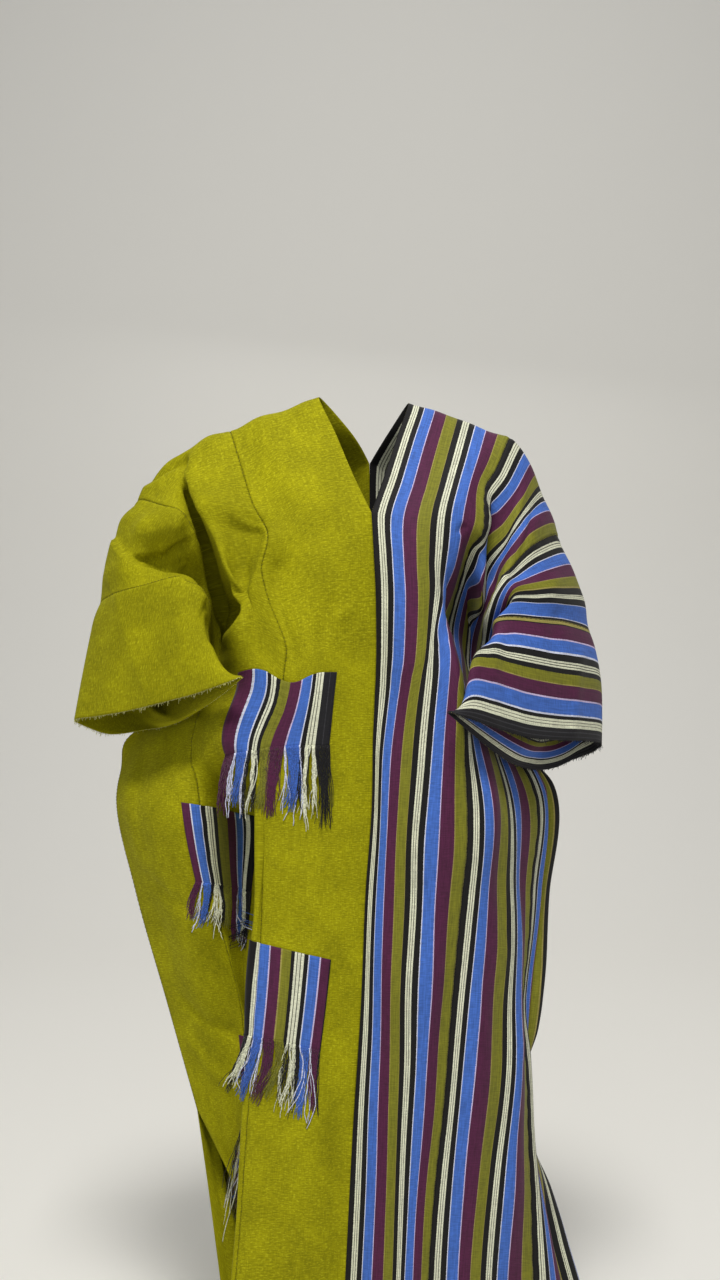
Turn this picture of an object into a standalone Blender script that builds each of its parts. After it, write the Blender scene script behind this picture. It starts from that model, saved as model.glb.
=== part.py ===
"""Grand boubou robe: a wide hand-woven robe, one half plain and one half striped.

Each half is sewn from strips of cloth, two stripe repeats wide, that run from the front hem over
the shoulder to the back hem. A cuff strip lies along the sleeve opening. Every strip is modelled
as a front and a back length, which meet at the shoulder line, and the back of the outer strip is
parted again below the underarm. Four fringed patches lie on the plain half. The robe hangs as
worn; its origin is between the high points of the shoulders, where the wearer carries it, +Z is
up and the front faces -Y.
"""
import bpy
import numpy as np

CM = 0.01
STRIP_REPEATS = 2            # 8 cm stripe repeats in the width of one strip
STRIPS = ("centre", "side", "outer")
WALL = 0.002                 # thickness of the cloth
SEAM_GAP = 0.0003            # between neighbouring pieces
PATCH_LIFT = 0.0006          # between a panel and what lies on it
FRINGE_WALL = 0.003          # depth of the hanging threads

# cloth distances from the shoulder line, in cm
NECK_FRONT = 17              # foot of the front opening, where the centre seam starts
NECK_BACK = 11               # foot of the back opening
UNDERARM = 32                # half the sleeve opening
PARTING = 38                 # where the back of the outer strip is in two lengths
SLIT = 104                   # foot of the side seam
HEM = 145

# Lines run down the cloth, one woven repeat apart, counted from the centre seam.
EDGE_LINE = STRIP_REPEATS * len(STRIPS)      # the side seam and the cuff's seam
CUFF_LINES = (EDGE_LINE + 1, EDGE_LINE + STRIP_REPEATS)      # up to the sleeve opening

# Sections across the cloth of one half. The key is the distance from the shoulder line, and
# x, y and z hold one value in cm for each of the lines, counted from the centre seam.
PLAIN_FRONT_LINES = (0, 1, 2, 2.4, 2.85, 3.2, 4, 5, 6)
PLAIN_FRONT = {
    0: {"x": (-6.9, -13.4, -20.2, -22.8, -25.3, -27.4, -33.7, -37.4, -40.0),
        "y": (3, 2, 1, 1, 1, 1.5, 2, 3, 3),
        "z": (1.0, -1.6, -4.1, -5.1, -6.5, -7.9, -14.5, -20.2, -29.8)},
    5: {"x": (-4.4, -11.7, -18.1, -21.1, -25.2, -26.5, -29.8, -33.9, -35.7),
        "y": (-3, -4.5, -5, -5, -4.5, -2, -5, -4, -5),
        "z": (-5.3, -7.1, -9.8, -10.9, -12.4, -11.9, -15.5, -22.5, -28.4)},
    11: {"x": (-1.9, -9.3, -16.0, -19.5, -23.5, -24.6, -26.4, -30.3, -30.8),
         "y": (-8, -9, -9, -8.5, -7.5, -2, -7, -5, -9),
         "z": (-11.7, -13.4, -15.9, -16.1, -16.5, -16.2, -16.8, -23.7, -27.6)},
    17: {"x": (0.7, -7.5, -13.5, -17.6, -21.8, -23.1, -24.4, -27.0, -26.0),
         "y": (-11.5, -12, -11.5, -10.5, -9.5, -1, -5, -5, -11),
         "z": (-17.5, -18.6, -20.9, -20.9, -20.9, -20.8, -20.4, -24.8, -27.1)},
    23: {"x": (1.0, -6.5, -14.2, -17.0, -20.1, -21.6, -23.0, -24.5, -22.7),
         "y": (-12.5, -13.5, -11.5, -11, -10.5, 0, -2, -4, -11),
         "z": (-23.4, -24.2, -25.7, -25.4, -25.4, -25.6, -25.0, -26.9, -28.2)},
    28: {"x": (1.3, -6.1, -13.0, -16.0, -18.5, -20.4, -21.9, -22.6, -22.5),
         "y": (-12.5, -14, -13, -11.5, -11, 1, 0, -3, -7),
         "z": (-29.2, -29.7, -30.5, -29.2, -29.5, -30.0, -30.0, -30.8, -32.6)},
    32: {"x": (1.4, -5.9, -11.2, -14.8, -18.0, -20.0, -21.6, -22.6, -24.6),
         "y": (-12, -14.5, -14.5, -13, -12, 0, 0.5, -0.5, -3),
         "z": (-35.4, -35.8, -36.8, -33.5, -33.8, -35.1, -35.9, -37.0, -39.5)},
    38: {"x": (1.3, -6.0, -11.3, -14.5, -17.9, -20.0, -22.3, -24.0, -26.5),
         "y": (-12, -14.5, -14.8, -13.6, -11.2, -3.5, -0.5, 1, 2.5),
         "z": (-39.4, -39.5, -40.2, -37.8, -38.0, -39.5, -40.5, -42.0, -44.5)},
    44: {"x": (1.1, -6.2, -11.8, -14.3, -17.9, -20.3, -24.0, -29.0, -35.6),
         "y": (-12, -14.5, -15, -14, -10, -5.5, -2, 2.5, 6.5),
         "z": (-43.4, -43.3, -44.0, -42.0, -42.1, -43.1, -44.2, -47.0, -49.6)},
    51: {"x": (0.9, -6.5, -13.7, -16.4, -19.5, -21.3, -24.9, -30.0, -36.7),
         "y": (-12, -14.5, -14.5, -14, -12, -9.5, -5.5, -2, 5),
         "z": (-49.7, -49.6, -49.6, -49.6, -49.8, -50.1, -50.4, -51.5, -54.4)},
    57: {"x": (0.8, -6.7, -14.0, -15.0, -16.4, -18.5, -24.0, -30.4, -37.1),
         "y": (-12.5, -14.5, -14.5, -13.5, -4, -2, -7.5, -6, 3),
         "z": (-55.8, -55.6, -55.6, -55.7, -56.9, -57.2, -56.4, -56.6, -58.4)},
    72: {"x": (-0.1, -7.3, -14.2, -15.0, -16.0, -17.9, -21.9, -27.7, -34.2),
         "y": (-13, -15, -14.5, -14, -3, -1, -6.5, -5.5, 3),
         "z": (-69.8, -69.4, -69.5, -69.6, -71.7, -72.0, -71.0, -71.2, -72.8)},
    88: {"x": (-0.7, -7.8, -14.8, -16.3, -16.7, -17.3, -18.3, -23.3, -29.5),
         "y": (-13.5, -15.5, -15, -14, -5, -2, -3, -3, 2),
         "z": (-84.5, -84.0, -84.1, -84.4, -86.8, -87.6, -87.3, -87.3, -88.6)},
    104: {"x": (-1.7, -8.7, -15.9, -16.6, -16.2, -16.2, -17.0, -20.9, -24.8),
          "y": (-14, -16, -15.5, -14.5, -7, -4, -1, 0, 1),
          "z": (-99.4, -98.7, -98.9, -99.3, -101.8, -102.9, -103.9, -104.3, -104.6)},
    122: {"x": (-2.6, -9.9, -17.3, -17.9, -17.0, -16.5, -15.5, -16.0, -18.0),
          "y": (-14, -16, -15.5, -14.5, -8, -5, -1.5, 2.5, 1.5),
          "z": (-116.5, -115.7, -115.9, -116.3, -119.2, -120.5, -121.8, -122.2, -121.8)},
    145: {"x": (-4.1, -11.6, -19.3, -20.0, -19.0, -18.0, -16.8, -17.0, -18.8),
          "y": (-14, -16, -15.5, -14.5, -8, -5, -1.5, 3, 2.5),
          "z": (-145, -145, -145, -145, -145, -145, -145, -145, -145)},
}
STRIPED_FRONT_LINES = (0, 1, 1.55, 2, 2.55, 3, 3.55, 4, 5, 6)
STRIPED_FRONT = {
    0: {"x": (6.3, 13.6, 17.8, 21.0, 24.2, 25.6, 27.4, 28.5, 31.9, 33.3),
        "y": (3, 2, 1.5, 1, 1.5, 2, 2.5, 2.5, 3, 3),
        "z": (0.1, -2.3, -4.2, -5.7, -9.2, -12.3, -16.1, -19.6, -27.4, -33.7)},
    5: {"x": (4.5, 11.9, 16.3, 18.8, 21.7, 22.5, 24.1, 24.2, 27.7, 28.8),
        "y": (-3, -4, -4, -3.5, -3, -3.5, -4, -5, -4, -4),
        "z": (-5.7, -7.8, -8.5, -10.4, -13.4, -16.1, -17.6, -21.4, -27.7, -32.6)},
    11: {"x": (2.5, 10.2, 14.6, 16.6, 19.2, 20.1, 21.4, 21.0, 23.8, 24.8),
         "y": (-8, -8.5, -8, -7, -5, -5, -6, -7, -8, -8),
         "z": (-12.1, -13.7, -13.3, -14.3, -16.5, -20.1, -21.3, -24.4, -28.1, -32.3)},
    17: {"x": (0.7, 8.9, 13.5, 16.3, 16.9, 17.0, 18.3, 18.9, 20.6, 18.7),
         "y": (-11.5, -11.5, -10, -9, -5, -4, -5, -9, -10, -11),
         "z": (-17.5, -18.5, -17.7, -19.7, -19.2, -23.8, -26.5, -27.1, -28.6, -32.1)},
    23: {"x": (1.0, 8.6, 12.8, 14.5, 16.3, 16.4, 16.8, 17.0, 19.6, 17.9),
         "y": (-12.5, -13, -10, -6, -7, -6, -4, -8, -8, -9),
         "z": (-23.4, -24.1, -22.3, -22.5, -26.6, -30.3, -30.2, -31.2, -31.2, -34.6)},
    28: {"x": (1.3, 8.5, 11.7, 13.0, 14.6, 15.0, 15.8, 16.6, 18.9, 18.7),
         "y": (-12.5, -13.5, -10, -4, -2, 0, 1, -3, -5, -6),
         "z": (-29.2, -29.7, -27.5, -27.9, -28.2, -31.6, -35.1, -36.6, -35.1, -39.1)},
    32: {"x": (1.4, 8.1, 10.7, 11.8, 13.4, 14.3, 15.6, 16.4, 19.0, 20.8),
         "y": (-12, -14, -12, -6, -2, 0, 1, -1, -2.5, -3),
         "z": (-35.4, -35.8, -31.6, -33.0, -33.0, -36.6, -40.0, -41.5, -41.5, -44.6)},
    38: {"x": (1.3, 7.6, 11.1, 12.2, 13.6, 15.0, 16.5, 17.8, 20.0, 22.0),
         "y": (-12, -14, -13.3, -10, -4, -0.5, 1, 1, 0.3, 1.2),
         "z": (-39.4, -39.6, -34.8, -37.5, -37.7, -40.2, -43.0, -44.4, -45.8, -48.6)},
    44: {"x": (1.1, 7.1, 11.5, 12.8, 14.0, 15.9, 17.3, 19.2, 22.0, 24.0),
         "y": (-12, -14, -14.5, -14, -6, -1, 0.5, 1.2, 1.5, 3.3),
         "z": (-43.4, -43.4, -37.9, -42.0, -42.3, -43.9, -45.4, -47.0, -49.2, -52.6)},
    51: {"x": (0.9, 6.4, 10.7, 13.2, 15.6, 17.6, 19.6, 21.9, 25.1, 25.7),
         "y": (-12, -14.3, -15.6, -14.6, -10.5, -5.5, -2.5, -0.5, 2, 5),
         "z": (-49.7, -49.5, -47.2, -49.0, -49.2, -50.2, -51.2, -52.0, -53.4, -56.2)},
    57: {"x": (0.8, 5.9, 10.2, 13.7, 17.1, 19.2, 21.3, 24.2, 27.2, 26.4),
         "y": (-12.5, -14.5, -16, -14.5, -13, -9, -5.5, -2, 2, 6),
         "z": (-55.8, -55.6, -55.4, -55.6, -55.8, -56.2, -56.6, -57.0, -57.5, -60.0)},
    72: {"x": (-0.1, 5.2, 9.4, 13.2, 16.9, 19.6, 21.9, 23.9, 26.7, 25.6),
         "y": (-13, -15, -16, -14.5, -12.5, -9, -5, -2, 3, 8),
         "z": (-69.8, -69.4, -69.2, -69.5, -69.9, -70.5, -71.3, -71.8, -72.8, -73.7)},
    88: {"x": (-0.7, 4.7, 8.7, 11.8, 15.5, 19.1, 21.7, 22.6, 24.9, 24.9),
         "y": (-13.5, -15.5, -16.5, -15, -14, -11, -8, -3, 0, 6),
         "z": (-84.5, -84.0, -83.7, -84.1, -84.4, -85.2, -86.0, -87.3, -88.1, -89.7)},
    104: {"x": (-1.7, 4.4, 7.8, 10.5, 14.1, 18.0, 21.2, 22.7, 23.1, 23.0),
          "y": (-14, -15.5, -16.5, -15.5, -15, -13, -11.5, -7, -2, 3),
          "z": (-99.4, -98.9, -98.6, -98.9, -99.1, -99.8, -100.3, -101.8, -103.6, -105.3)},
    122: {"x": (-2.6, 3.8, 6.5, 8.7, 12.7, 15.8, 19.7, 23.1, 27.2, 28.8),
          "y": (-14, -16, -17, -16, -15.5, -14.5, -13, -10, -6, 0),
          "z": (-116.5, -115.7, -115.2, -115.7, -115.9, -116.3, -117.0, -118.3, -120.0, -122.7)},
    145: {"x": (-4.1, 2.6, 5.6, 7.9, 12.0, 15.2, 19.3, 23.3, 31.1, 35.7),
          "y": (-14, -16, -17, -16, -15.5, -14.5, -13, -11, -7, -1),
          "z": (-145, -145, -145, -145, -145, -145, -145, -145, -145, -145)},
}
# Between the underarm and the slit the back shares its edge line with the front.
BACK_LINES = (0, 1, 2, 3, 4, 5, 6)
PLAIN_BACK = {
    5: {"x": (-2.4, -12, -20.5, -28, -33.5, -36.5, -38.5), "y": (6, 6, 5, 5.5, 6, 6, 6.5),
        "z": (-3.5, -5.5, -7.5, -11.5, -18, -25, -33)},
    11: {"x": (0.6, -9.5, -19.5, -27.5, -34, -37, -37.5), "y": (9.5, 10, 9, 9, 9, 8.5, 9),
         "z": (-8, -11.5, -13, -17, -23, -29.5, -37)},
    17: {"x": (0.6, -8.5, -18.5, -26.5, -33, -36.5, -35.5), "y": (10.5, 12, 11, 11, 10.5, 9.5, 9),
         "z": (-14, -18, -19.5, -23, -29, -35, -41.5)},
    23: {"x": (0.6, -8, -17.8, -25.5, -31.5, -34.5, -32.5), "y": (11, 12.8, 12, 12, 11, 9, 5.5),
         "z": (-20, -24, -26, -29.5, -35, -40.5, -44.5)},
    28: {"x": (0.6, -7.7, -17.3, -24.5, -30, -32, -28), "y": (11, 13, 12.5, 12.3, 11, 8, 0.5),
         "z": (-25, -29, -31, -34.5, -40, -44, -43.5)},
    32: {"x": (0.6, -7.5, -17, -23.5, -28, -28.5), "y": (11, 13, 12.5, 12, 10.5, 6),
         "z": (-30, -34, -35.5, -39, -44.5, -46.5)},
    38: {"x": (0.5, -7.5, -16.8, -23, -27.8, -30.5), "y": (10.8, 12.8, 12.3, 11.8, 10.5, 8),
         "z": (-36, -39, -40.5, -43.5, -48.3, -50)},
    44: {"x": (0.4, -7.5, -16.5, -22.5, -27.5, -32), "y": (10.5, 12.5, 12, 11.5, 10.5, 9),
         "z": (-42, -44, -45.5, -48, -52, -53.5)},
    57: {"x": (0, -8, -16.5, -23, -29.5, -34.5), "y": (11, 13, 12.5, 12, 10.5, 8.5),
         "z": (-56, -57, -58, -59.5, -62, -63)},
    72: {"x": (-0.4, -8.5, -16.5, -22.5, -28, -31.5), "y": (12, 14, 13, 12.5, 10.5, 8),
         "z": (-71, -72, -72.5, -73.5, -75, -76)},
    88: {"x": (-0.9, -9, -16.5, -22, -25.5, -28), "y": (12.5, 14.5, 13.5, 12.5, 11, 8),
         "z": (-87, -88, -88.5, -89, -90.5, -91.5)},
    104: {"x": (-1.6, -9.5, -16.5, -20.5, -22, -23.5), "y": (13, 15, 14, 12.5, 10.5, 7),
          "z": (-103, -104, -104.5, -105, -106, -106.5)},
    145: {"x": (-3.6, -11, -15.5, -17.5, -18.5, -19, -20.2), "y": (14, 16, 15, 12, 9, 6.5, 5),
          "z": (-145, -145, -145, -145, -145, -145, -145)},
}
STRIPED_BACK = {
    5: {"x": (3.6, 12.5, 20.6, 25.5, 28.5, 31.5, 33), "y": (6, 6, 5, 6, 6, 6, 6),
        "z": (-3.5, -6, -9, -15, -22.5, -29, -35)},
    11: {"x": (0.6, 10.8, 20, 26, 29.5, 32, 33), "y": (9.5, 10, 9, 9.5, 9, 8.5, 8),
         "z": (-8, -12, -14.5, -20.5, -27, -33, -39)},
    17: {"x": (0.6, 9.8, 19, 25.5, 29.5, 31.5, 31), "y": (10.5, 12, 11, 11, 10.5, 9.5, 8),
         "z": (-14, -18, -20.5, -26, -32, -38, -43.5)},
    23: {"x": (0.6, 9.3, 18.2, 24.5, 28.5, 29.5, 28), "y": (11, 12.8, 12, 12, 11, 9, 6),
         "z": (-20, -24, -26.5, -32, -37.5, -42.5, -46.7)},
    28: {"x": (0.6, 9, 17.8, 23.5, 27, 27.6, 25), "y": (11, 13, 12.3, 12.3, 11, 8, 1.5),
         "z": (-25, -29, -31, -36.5, -42, -46, -47.3)},
    32: {"x": (0.6, 9, 17.5, 22.5, 25, 25.2), "y": (11, 13, 12.3, 12, 10.5, 6),
         "z": (-30, -34, -35.5, -40.5, -46, -49)},
    38: {"x": (0.5, 8.8, 17, 21.5, 23.8, 24.4), "y": (10.8, 12.8, 12.2, 11.8, 10.3, 6.8),
         "z": (-36, -39, -40.5, -44.8, -49.5, -52.5)},
    44: {"x": (0.4, 8.6, 16.5, 20.5, 22.5, 23.5), "y": (10.5, 12.5, 12, 11.5, 10, 7),
         "z": (-42, -44, -45.5, -49, -53, -56)},
    57: {"x": (0, 8, 15.5, 20, 23, 24.5), "y": (11, 13, 12, 11.5, 10, 8.5),
         "z": (-56, -57, -58, -60, -62, -64)},
    72: {"x": (-0.4, 7.5, 14.8, 19.5, 22, 23.5), "y": (12, 14, 12.5, 12, 11, 9.5),
         "z": (-71, -72, -72.5, -74, -75, -76)},
    88: {"x": (-0.9, 7, 14, 19, 21, 22.5), "y": (12.5, 14.5, 13, 12.5, 11.5, 9.5),
         "z": (-87, -88, -88.5, -90, -91, -91.5)},
    104: {"x": (-1.6, 6, 12.5, 17.5, 20, 21), "y": (13, 15, 13.5, 13, 11.5, 8),
          "z": (-103, -104, -104.5, -105.5, -106, -106)},
    145: {"x": (-3.6, 3.5, 10, 17, 23, 29, 36), "y": (14, 16, 14.5, 12, 9.5, 6, 4),
          "z": (-145, -145, -145, -145, -145, -145, -145)},
}
# The cuff strips beyond the edge line, from the underarm at the back to the underarm in front.
PLAIN_CUFF = {
    -28: {"x": (-26, -22.3), "y": (-5.5, -10), "z": (-45.5, -44.4)},
    -23: {"x": (-30.3, -27.4), "y": (0, -3), "z": (-47, -47.2)},
    -17: {"x": (-34.5, -32.7), "y": (5.5, 2), "z": (-46.5, -48.4)},
    -11: {"x": (-38, -38.3), "y": (8, 5), "z": (-44.5, -49.3)},
    -5: {"x": (-40, -41.5), "y": (6.5, 4.5), "z": (-41.5, -48.4)},
    0: {"x": (-41.7, -43.1), "y": (2.5, 1.5), "z": (-38.4, -47.0)},
    5: {"x": (-37.5, -39.0), "y": (-4, -3), "z": (-37.5, -46.2)},
    11: {"x": (-32.6, -33.9), "y": (-8.5, -7), "z": (-36.4, -45.2)},
    17: {"x": (-27.6, -28.7), "y": (-12, -10.5), "z": (-35.4, -43.9)},
    23: {"x": (-23.4, -23.8), "y": (-14, -13.5), "z": (-34.5, -42.6)},
    28: {"x": (-21.5, -19.6), "y": (-13, -16), "z": (-35.1, -41.2)},
    32: {"x": (-21.3, -16.6), "y": (-10, -17.5), "z": (-40.0, -40.1)},
}
STRIPED_CUFF = {
    -28: {"x": (23.5, 18.2), "y": (-4.5, -11), "z": (-49.3, -51.0)},
    -23: {"x": (27.5, 22.9), "y": (2, -5), "z": (-50, -53.5)},
    -17: {"x": (31.5, 27.4), "y": (6, 0), "z": (-48.5, -54.0)},
    -11: {"x": (34.5, 31.1), "y": (7, 3), "z": (-45.5, -52.9)},
    -5: {"x": (35, 33.8), "y": (5, 3.5), "z": (-43, -51.9)},
    0: {"x": (34.6, 34.7), "y": (2, 1), "z": (-40.9, -50.5)},
    5: {"x": (30.7, 31.3), "y": (-4, -4), "z": (-40.0, -49.7)},
    11: {"x": (26.3, 26.9), "y": (-8.5, -8), "z": (-39.3, -49.3)},
    17: {"x": (21.2, 22.3), "y": (-12.5, -12), "z": (-38.3, -48.6)},
    23: {"x": (16.8, 17.8), "y": (-15.5, -15.5), "z": (-37.3, -47.2)},
    28: {"x": (14.3, 14.0), "y": (-16, -18), "z": (-38.5, -45.8)},
    32: {"x": (15.7, 10.7), "y": (-12, -19.5), "z": (-45.1, -44.7)},
}

# Facets: the lines across each strip and the distances down it that its corners lie on.
STRIP_FACETS = {
    "centre": (0, 0.35, 0.7, 1.1, 1.55, 2),
    "side": (2, 2.25, 2.5, 2.8, 3.2, 3.6, 4),
    "outer": (4, 4.4, 4.8, 5.2, 5.6, 6),
    "cuff": (6, 6.5, 7, 7.5, 8),
}
SLEEVE_FACETS = (0, 2.5, 5, 8, 11, 14, 17, 20, 23, 25.5, 28, UNDERARM)
BODY_FACETS = (38, 44, 51.5, 60, 65.5, 71, 80, 87, 94, SLIT, 111.5, 119, 132, HEM)
CREASE = 50                  # degrees between facets that meet at a sharp edge

# Patches on the plain front: the lines and distances of the woven cloth, and the fringe's foot.
PATCHES = {
    "patch_1": {"lines": (0.7, 2.8), "down": (38, 51.5), "fringe": 60},
    "patch_2": {"lines": (2.8, 4.4), "down": (60, 71), "fringe": 80},
    "patch_3": {"lines": (0.7, 2.5), "down": (80, 94), "fringe": 104},
    "patch_4": {"lines": (2.8, 4.4), "down": (94, 104), "fringe": 119},
}

HALVES = {
    "plain": {"side": -1, "front": PLAIN_FRONT, "frontLines": PLAIN_FRONT_LINES,
              "back": PLAIN_BACK, "cuff": PLAIN_CUFF},
    "striped": {"side": 1, "front": STRIPED_FRONT, "frontLines": STRIPED_FRONT_LINES,
                "back": STRIPED_BACK, "cuff": STRIPED_CUFF},
}
CLOTH_LOOKS = {
    "plain_olive_cotton": {"colour": (0.32, 0.29, 0.015, 1), "roughness": 0.85},
    "striped_cotton": {"colour": (0.08, 0.13, 0.42, 1), "roughness": 0.8},
    "patch_cotton": {"colour": (0.09, 0.02, 0.06, 1), "roughness": 0.85},
    "fringe_threads": {"colour": (0.35, 0.33, 0.28, 1), "roughness": 0.9},
}


def clearScene():
    for thing in list(bpy.data.objects):
        bpy.data.objects.remove(thing)


def slopes(knots, points):
    """Slope at each knot of the curve through three neighbouring points."""
    steps = np.diff(knots)
    chords = np.diff(points, axis=0) / steps[:, None]
    if len(knots) == 2:
        return np.array([chords[0], chords[0]])
    result = np.empty_like(points)
    before, after = steps[:-1, None], steps[1:, None]
    result[1:-1] = (after * chords[:-1] + before * chords[1:]) / (before + after)
    result[0] = 1.5 * chords[0] - 0.5 * result[1]
    result[-1] = 1.5 * chords[-1] - 0.5 * result[-2]
    return result


def smoothCurve(knots, points, places):
    """Points at the given places on the smooth curve through all knots."""
    knots = np.asarray(knots, float)
    points = np.asarray(points, float)
    places = np.asarray(places, float)
    slope = slopes(knots, points)
    span = np.clip(np.searchsorted(knots, places, side="right") - 1, 0, len(knots) - 2)
    width = (knots[span + 1] - knots[span])[:, None]
    t = (places - knots[span])[:, None] / width
    return ((2 * t**3 - 3 * t**2 + 1) * points[span] + (t**3 - 2 * t**2 + t) * width * slope[span]
            + (3 * t**2 - 2 * t**3) * points[span + 1] + (t**3 - t**2) * width * slope[span + 1])


def corneredCurve(knots, points, places, corners):
    """A smooth curve that may turn sharply at the given knots."""
    bounds = [knots[0]] + [c for c in corners if knots[0] < c < knots[-1]] + [knots[-1]]
    result = np.empty((len(places), 3))
    for start, end in zip(bounds[:-1], bounds[1:]):
        inside = [i for i, knot in enumerate(knots) if start <= knot <= end]
        chosen = (places >= start) & (places <= end)
        result[chosen] = smoothCurve([knots[i] for i in inside], [points[i] for i in inside],
                                     places[chosen])
    return result


def sectionPoints(section):
    return np.array([section["x"], section["y"], section["z"]], float).T * CM


def backSection(half, down):
    """Points of a back section, which ends on the front's edge line where the two are sewn."""
    points = sectionPoints(half["back"][down])
    if UNDERARM <= down <= SLIT:
        points = np.vstack([points, sectionPoints(half["front"][down])[-1:]])
    return points


def bodySheet(half, lines, distances):
    """Grid of points of one half, lines from the centre outwards, distances back hem to front."""
    knots = {-down: smoothCurve(BACK_LINES, backSection(half, down), lines)
             for down in half["back"]}
    knots.update({down: smoothCurve(half["frontLines"], sectionPoints(row), lines)
                  for down, row in half["front"].items()})
    order = sorted(knots)
    sheet = []
    for column, line in enumerate(lines):
        own = {down: knots[down][column] for down in order}
        corners = ()
        if line == 0:
            corners = (-NECK_BACK, NECK_FRONT)
        elif line == EDGE_LINE:
            corners = (-SLIT, -UNDERARM, UNDERARM, SLIT)
            own.update({-down: own[down] for down in order if UNDERARM <= down <= SLIT})
        stations = sorted(own)
        sheet.append(corneredCurve(stations, [own[down] for down in stations], distances, corners))
    return np.array(sheet)


def cuffSheet(half, lines, distances):
    """Grid of points of one cuff strip, from the edge line to the sleeve opening."""
    rows = dict(half["cuff"])
    rows[-UNDERARM] = rows[UNDERARM]
    order = sorted(rows)
    outer = np.array([sectionPoints(rows[down]) for down in order])
    columns = [bodySheet(half, (EDGE_LINE,), distances)[0]]
    columns += [smoothCurve(order, outer[:, index], distances) for index in range(len(CUFF_LINES))]
    stations = (EDGE_LINE,) + CUFF_LINES
    across = [smoothCurve(stations, np.array(columns)[:, row], lines)
              for row in range(len(distances))]
    return np.array(across).transpose(1, 0, 2)


def sheetNormals(points, side):
    """Unit vectors out of the cloth at every point of a grid."""
    along = np.gradient(points, axis=1)
    across = np.gradient(points, axis=0)
    normals = np.cross(along, across) * side
    return normals / np.linalg.norm(normals, axis=2, keepdims=True)


def placeKey(point):
    return tuple(np.round(point * 1e6).astype(int))


def shareNormals(sheets):
    """Give points that several sheets share one direction out, so that seams stay flush."""
    sums = {}
    for sheet in sheets:
        for point, normal in zip(sheet["points"].reshape(-1, 3), sheet["normals"].reshape(-1, 3)):
            key = placeKey(point)
            sums[key] = sums.get(key, 0) + normal
    for sheet in sheets:
        shared = np.array([sums[placeKey(point)] for point in sheet["points"].reshape(-1, 3)])
        shared /= np.linalg.norm(shared, axis=1, keepdims=True)
        sheet["normals"] = shared.reshape(sheet["normals"].shape)


def insetBorders(points, distance):
    """Pull the four borders of a grid towards their neighbours."""
    moved = points.copy()
    for axis in (0, 1):
        rows = np.swapaxes(points, 0, axis)
        target = np.swapaxes(moved, 0, axis)
        for border, inner in ((0, 1), (-1, -2)):
            towards = rows[inner] - rows[border]
            target[border] += distance * towards / np.linalg.norm(towards, axis=1, keepdims=True)
    return moved


def material(name):
    look = CLOTH_LOOKS[name]
    cloth = bpy.data.materials.get(name) or bpy.data.materials.new(name)
    cloth.use_nodes = True
    shader = cloth.node_tree.nodes["Principled BSDF"]
    shader.inputs["Base Color"].default_value = look["colour"]
    shader.inputs["Roughness"].default_value = look["roughness"]
    shader.inputs["Metallic"].default_value = 0
    return cloth


def clothWall(name, points, normals, rest, thickness, side, look, collection):
    """A closed wall of cloth that rests the given height above a grid of points."""
    seated = insetBorders(points, SEAM_GAP / 2)
    inner = seated + normals * rest
    outer = seated + normals * (rest + thickness)
    columns, rows = points.shape[:2]
    vertices = np.concatenate([inner.reshape(-1, 3), outer.reshape(-1, 3)])

    def corner(layer, column, row):
        return layer * columns * rows + column * rows + row

    faces = []
    for column in range(columns - 1):
        for row in range(rows - 1):
            for layer in (0, 1):
                quad = [corner(layer, column, row), corner(layer, column + 1, row),
                        corner(layer, column + 1, row + 1), corner(layer, column, row + 1)]
                pair = [(quad[0], quad[1], quad[2]), (quad[0], quad[2], quad[3])]
                faces += [face[::-1] for face in pair] if layer == 0 else pair
    rim = ([(column, 0) for column in range(columns - 1)]
           + [(columns - 1, row) for row in range(rows - 1)]
           + [(column, rows - 1) for column in range(columns - 1, 0, -1)]
           + [(0, row) for row in range(rows - 1, 0, -1)])
    for start, end in zip(rim, rim[1:] + rim[:1]):
        # Split from the higher inner corner to the lower outer one, as the neighbour is.
        below = (corner(0, *start), corner(0, *end))
        above = (corner(1, *start), corner(1, *end))
        if points[start][2] > points[end][2]:
            faces += [(below[0], below[1], above[1]), (below[0], above[1], above[0])]
        else:
            faces += [(below[0], below[1], above[0]), (below[1], above[1], above[0])]
    if side > 0:
        faces = [tuple(reversed(face)) for face in faces]
    mesh = bpy.data.meshes.new(name)
    mesh.from_pydata(vertices.tolist(), [], faces)
    mesh.materials.append(material(look))
    mesh.shade_smooth()
    mesh.set_sharp_from_angle(angle=np.radians(CREASE))
    collection.objects.link(bpy.data.objects.new(name, mesh))


def bodyDistances():
    front = SLEEVE_FACETS + BODY_FACETS
    return np.array([-down for down in reversed(front[1:])] + list(front))


def makeSheets(half):
    """The four sheets of one half, each running from back to front over the shoulder."""
    sheets = {}
    for strip in STRIPS:
        distances = bodyDistances()
        sheets[strip] = {"points": bodySheet(half, STRIP_FACETS[strip], distances),
                         "distances": distances}
    sleeve = np.array([-down for down in reversed(SLEEVE_FACETS[1:])] + list(SLEEVE_FACETS))
    sheets["cuff"] = {"points": cuffSheet(half, STRIP_FACETS["cuff"], sleeve), "distances": sleeve}
    for sheet in sheets.values():
        sheet["normals"] = sheetNormals(sheet["points"], half["side"])
    return sheets


def stripLengths(strip):
    """Name and reach of each length that a strip is modelled in."""
    if strip == "outer":
        return ("front", 0, HEM), ("back_upper", -PARTING, 0), ("back_lower", -HEM, -PARTING)
    return ("front", 0, HEM), ("back", -HEM, 0)


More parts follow.
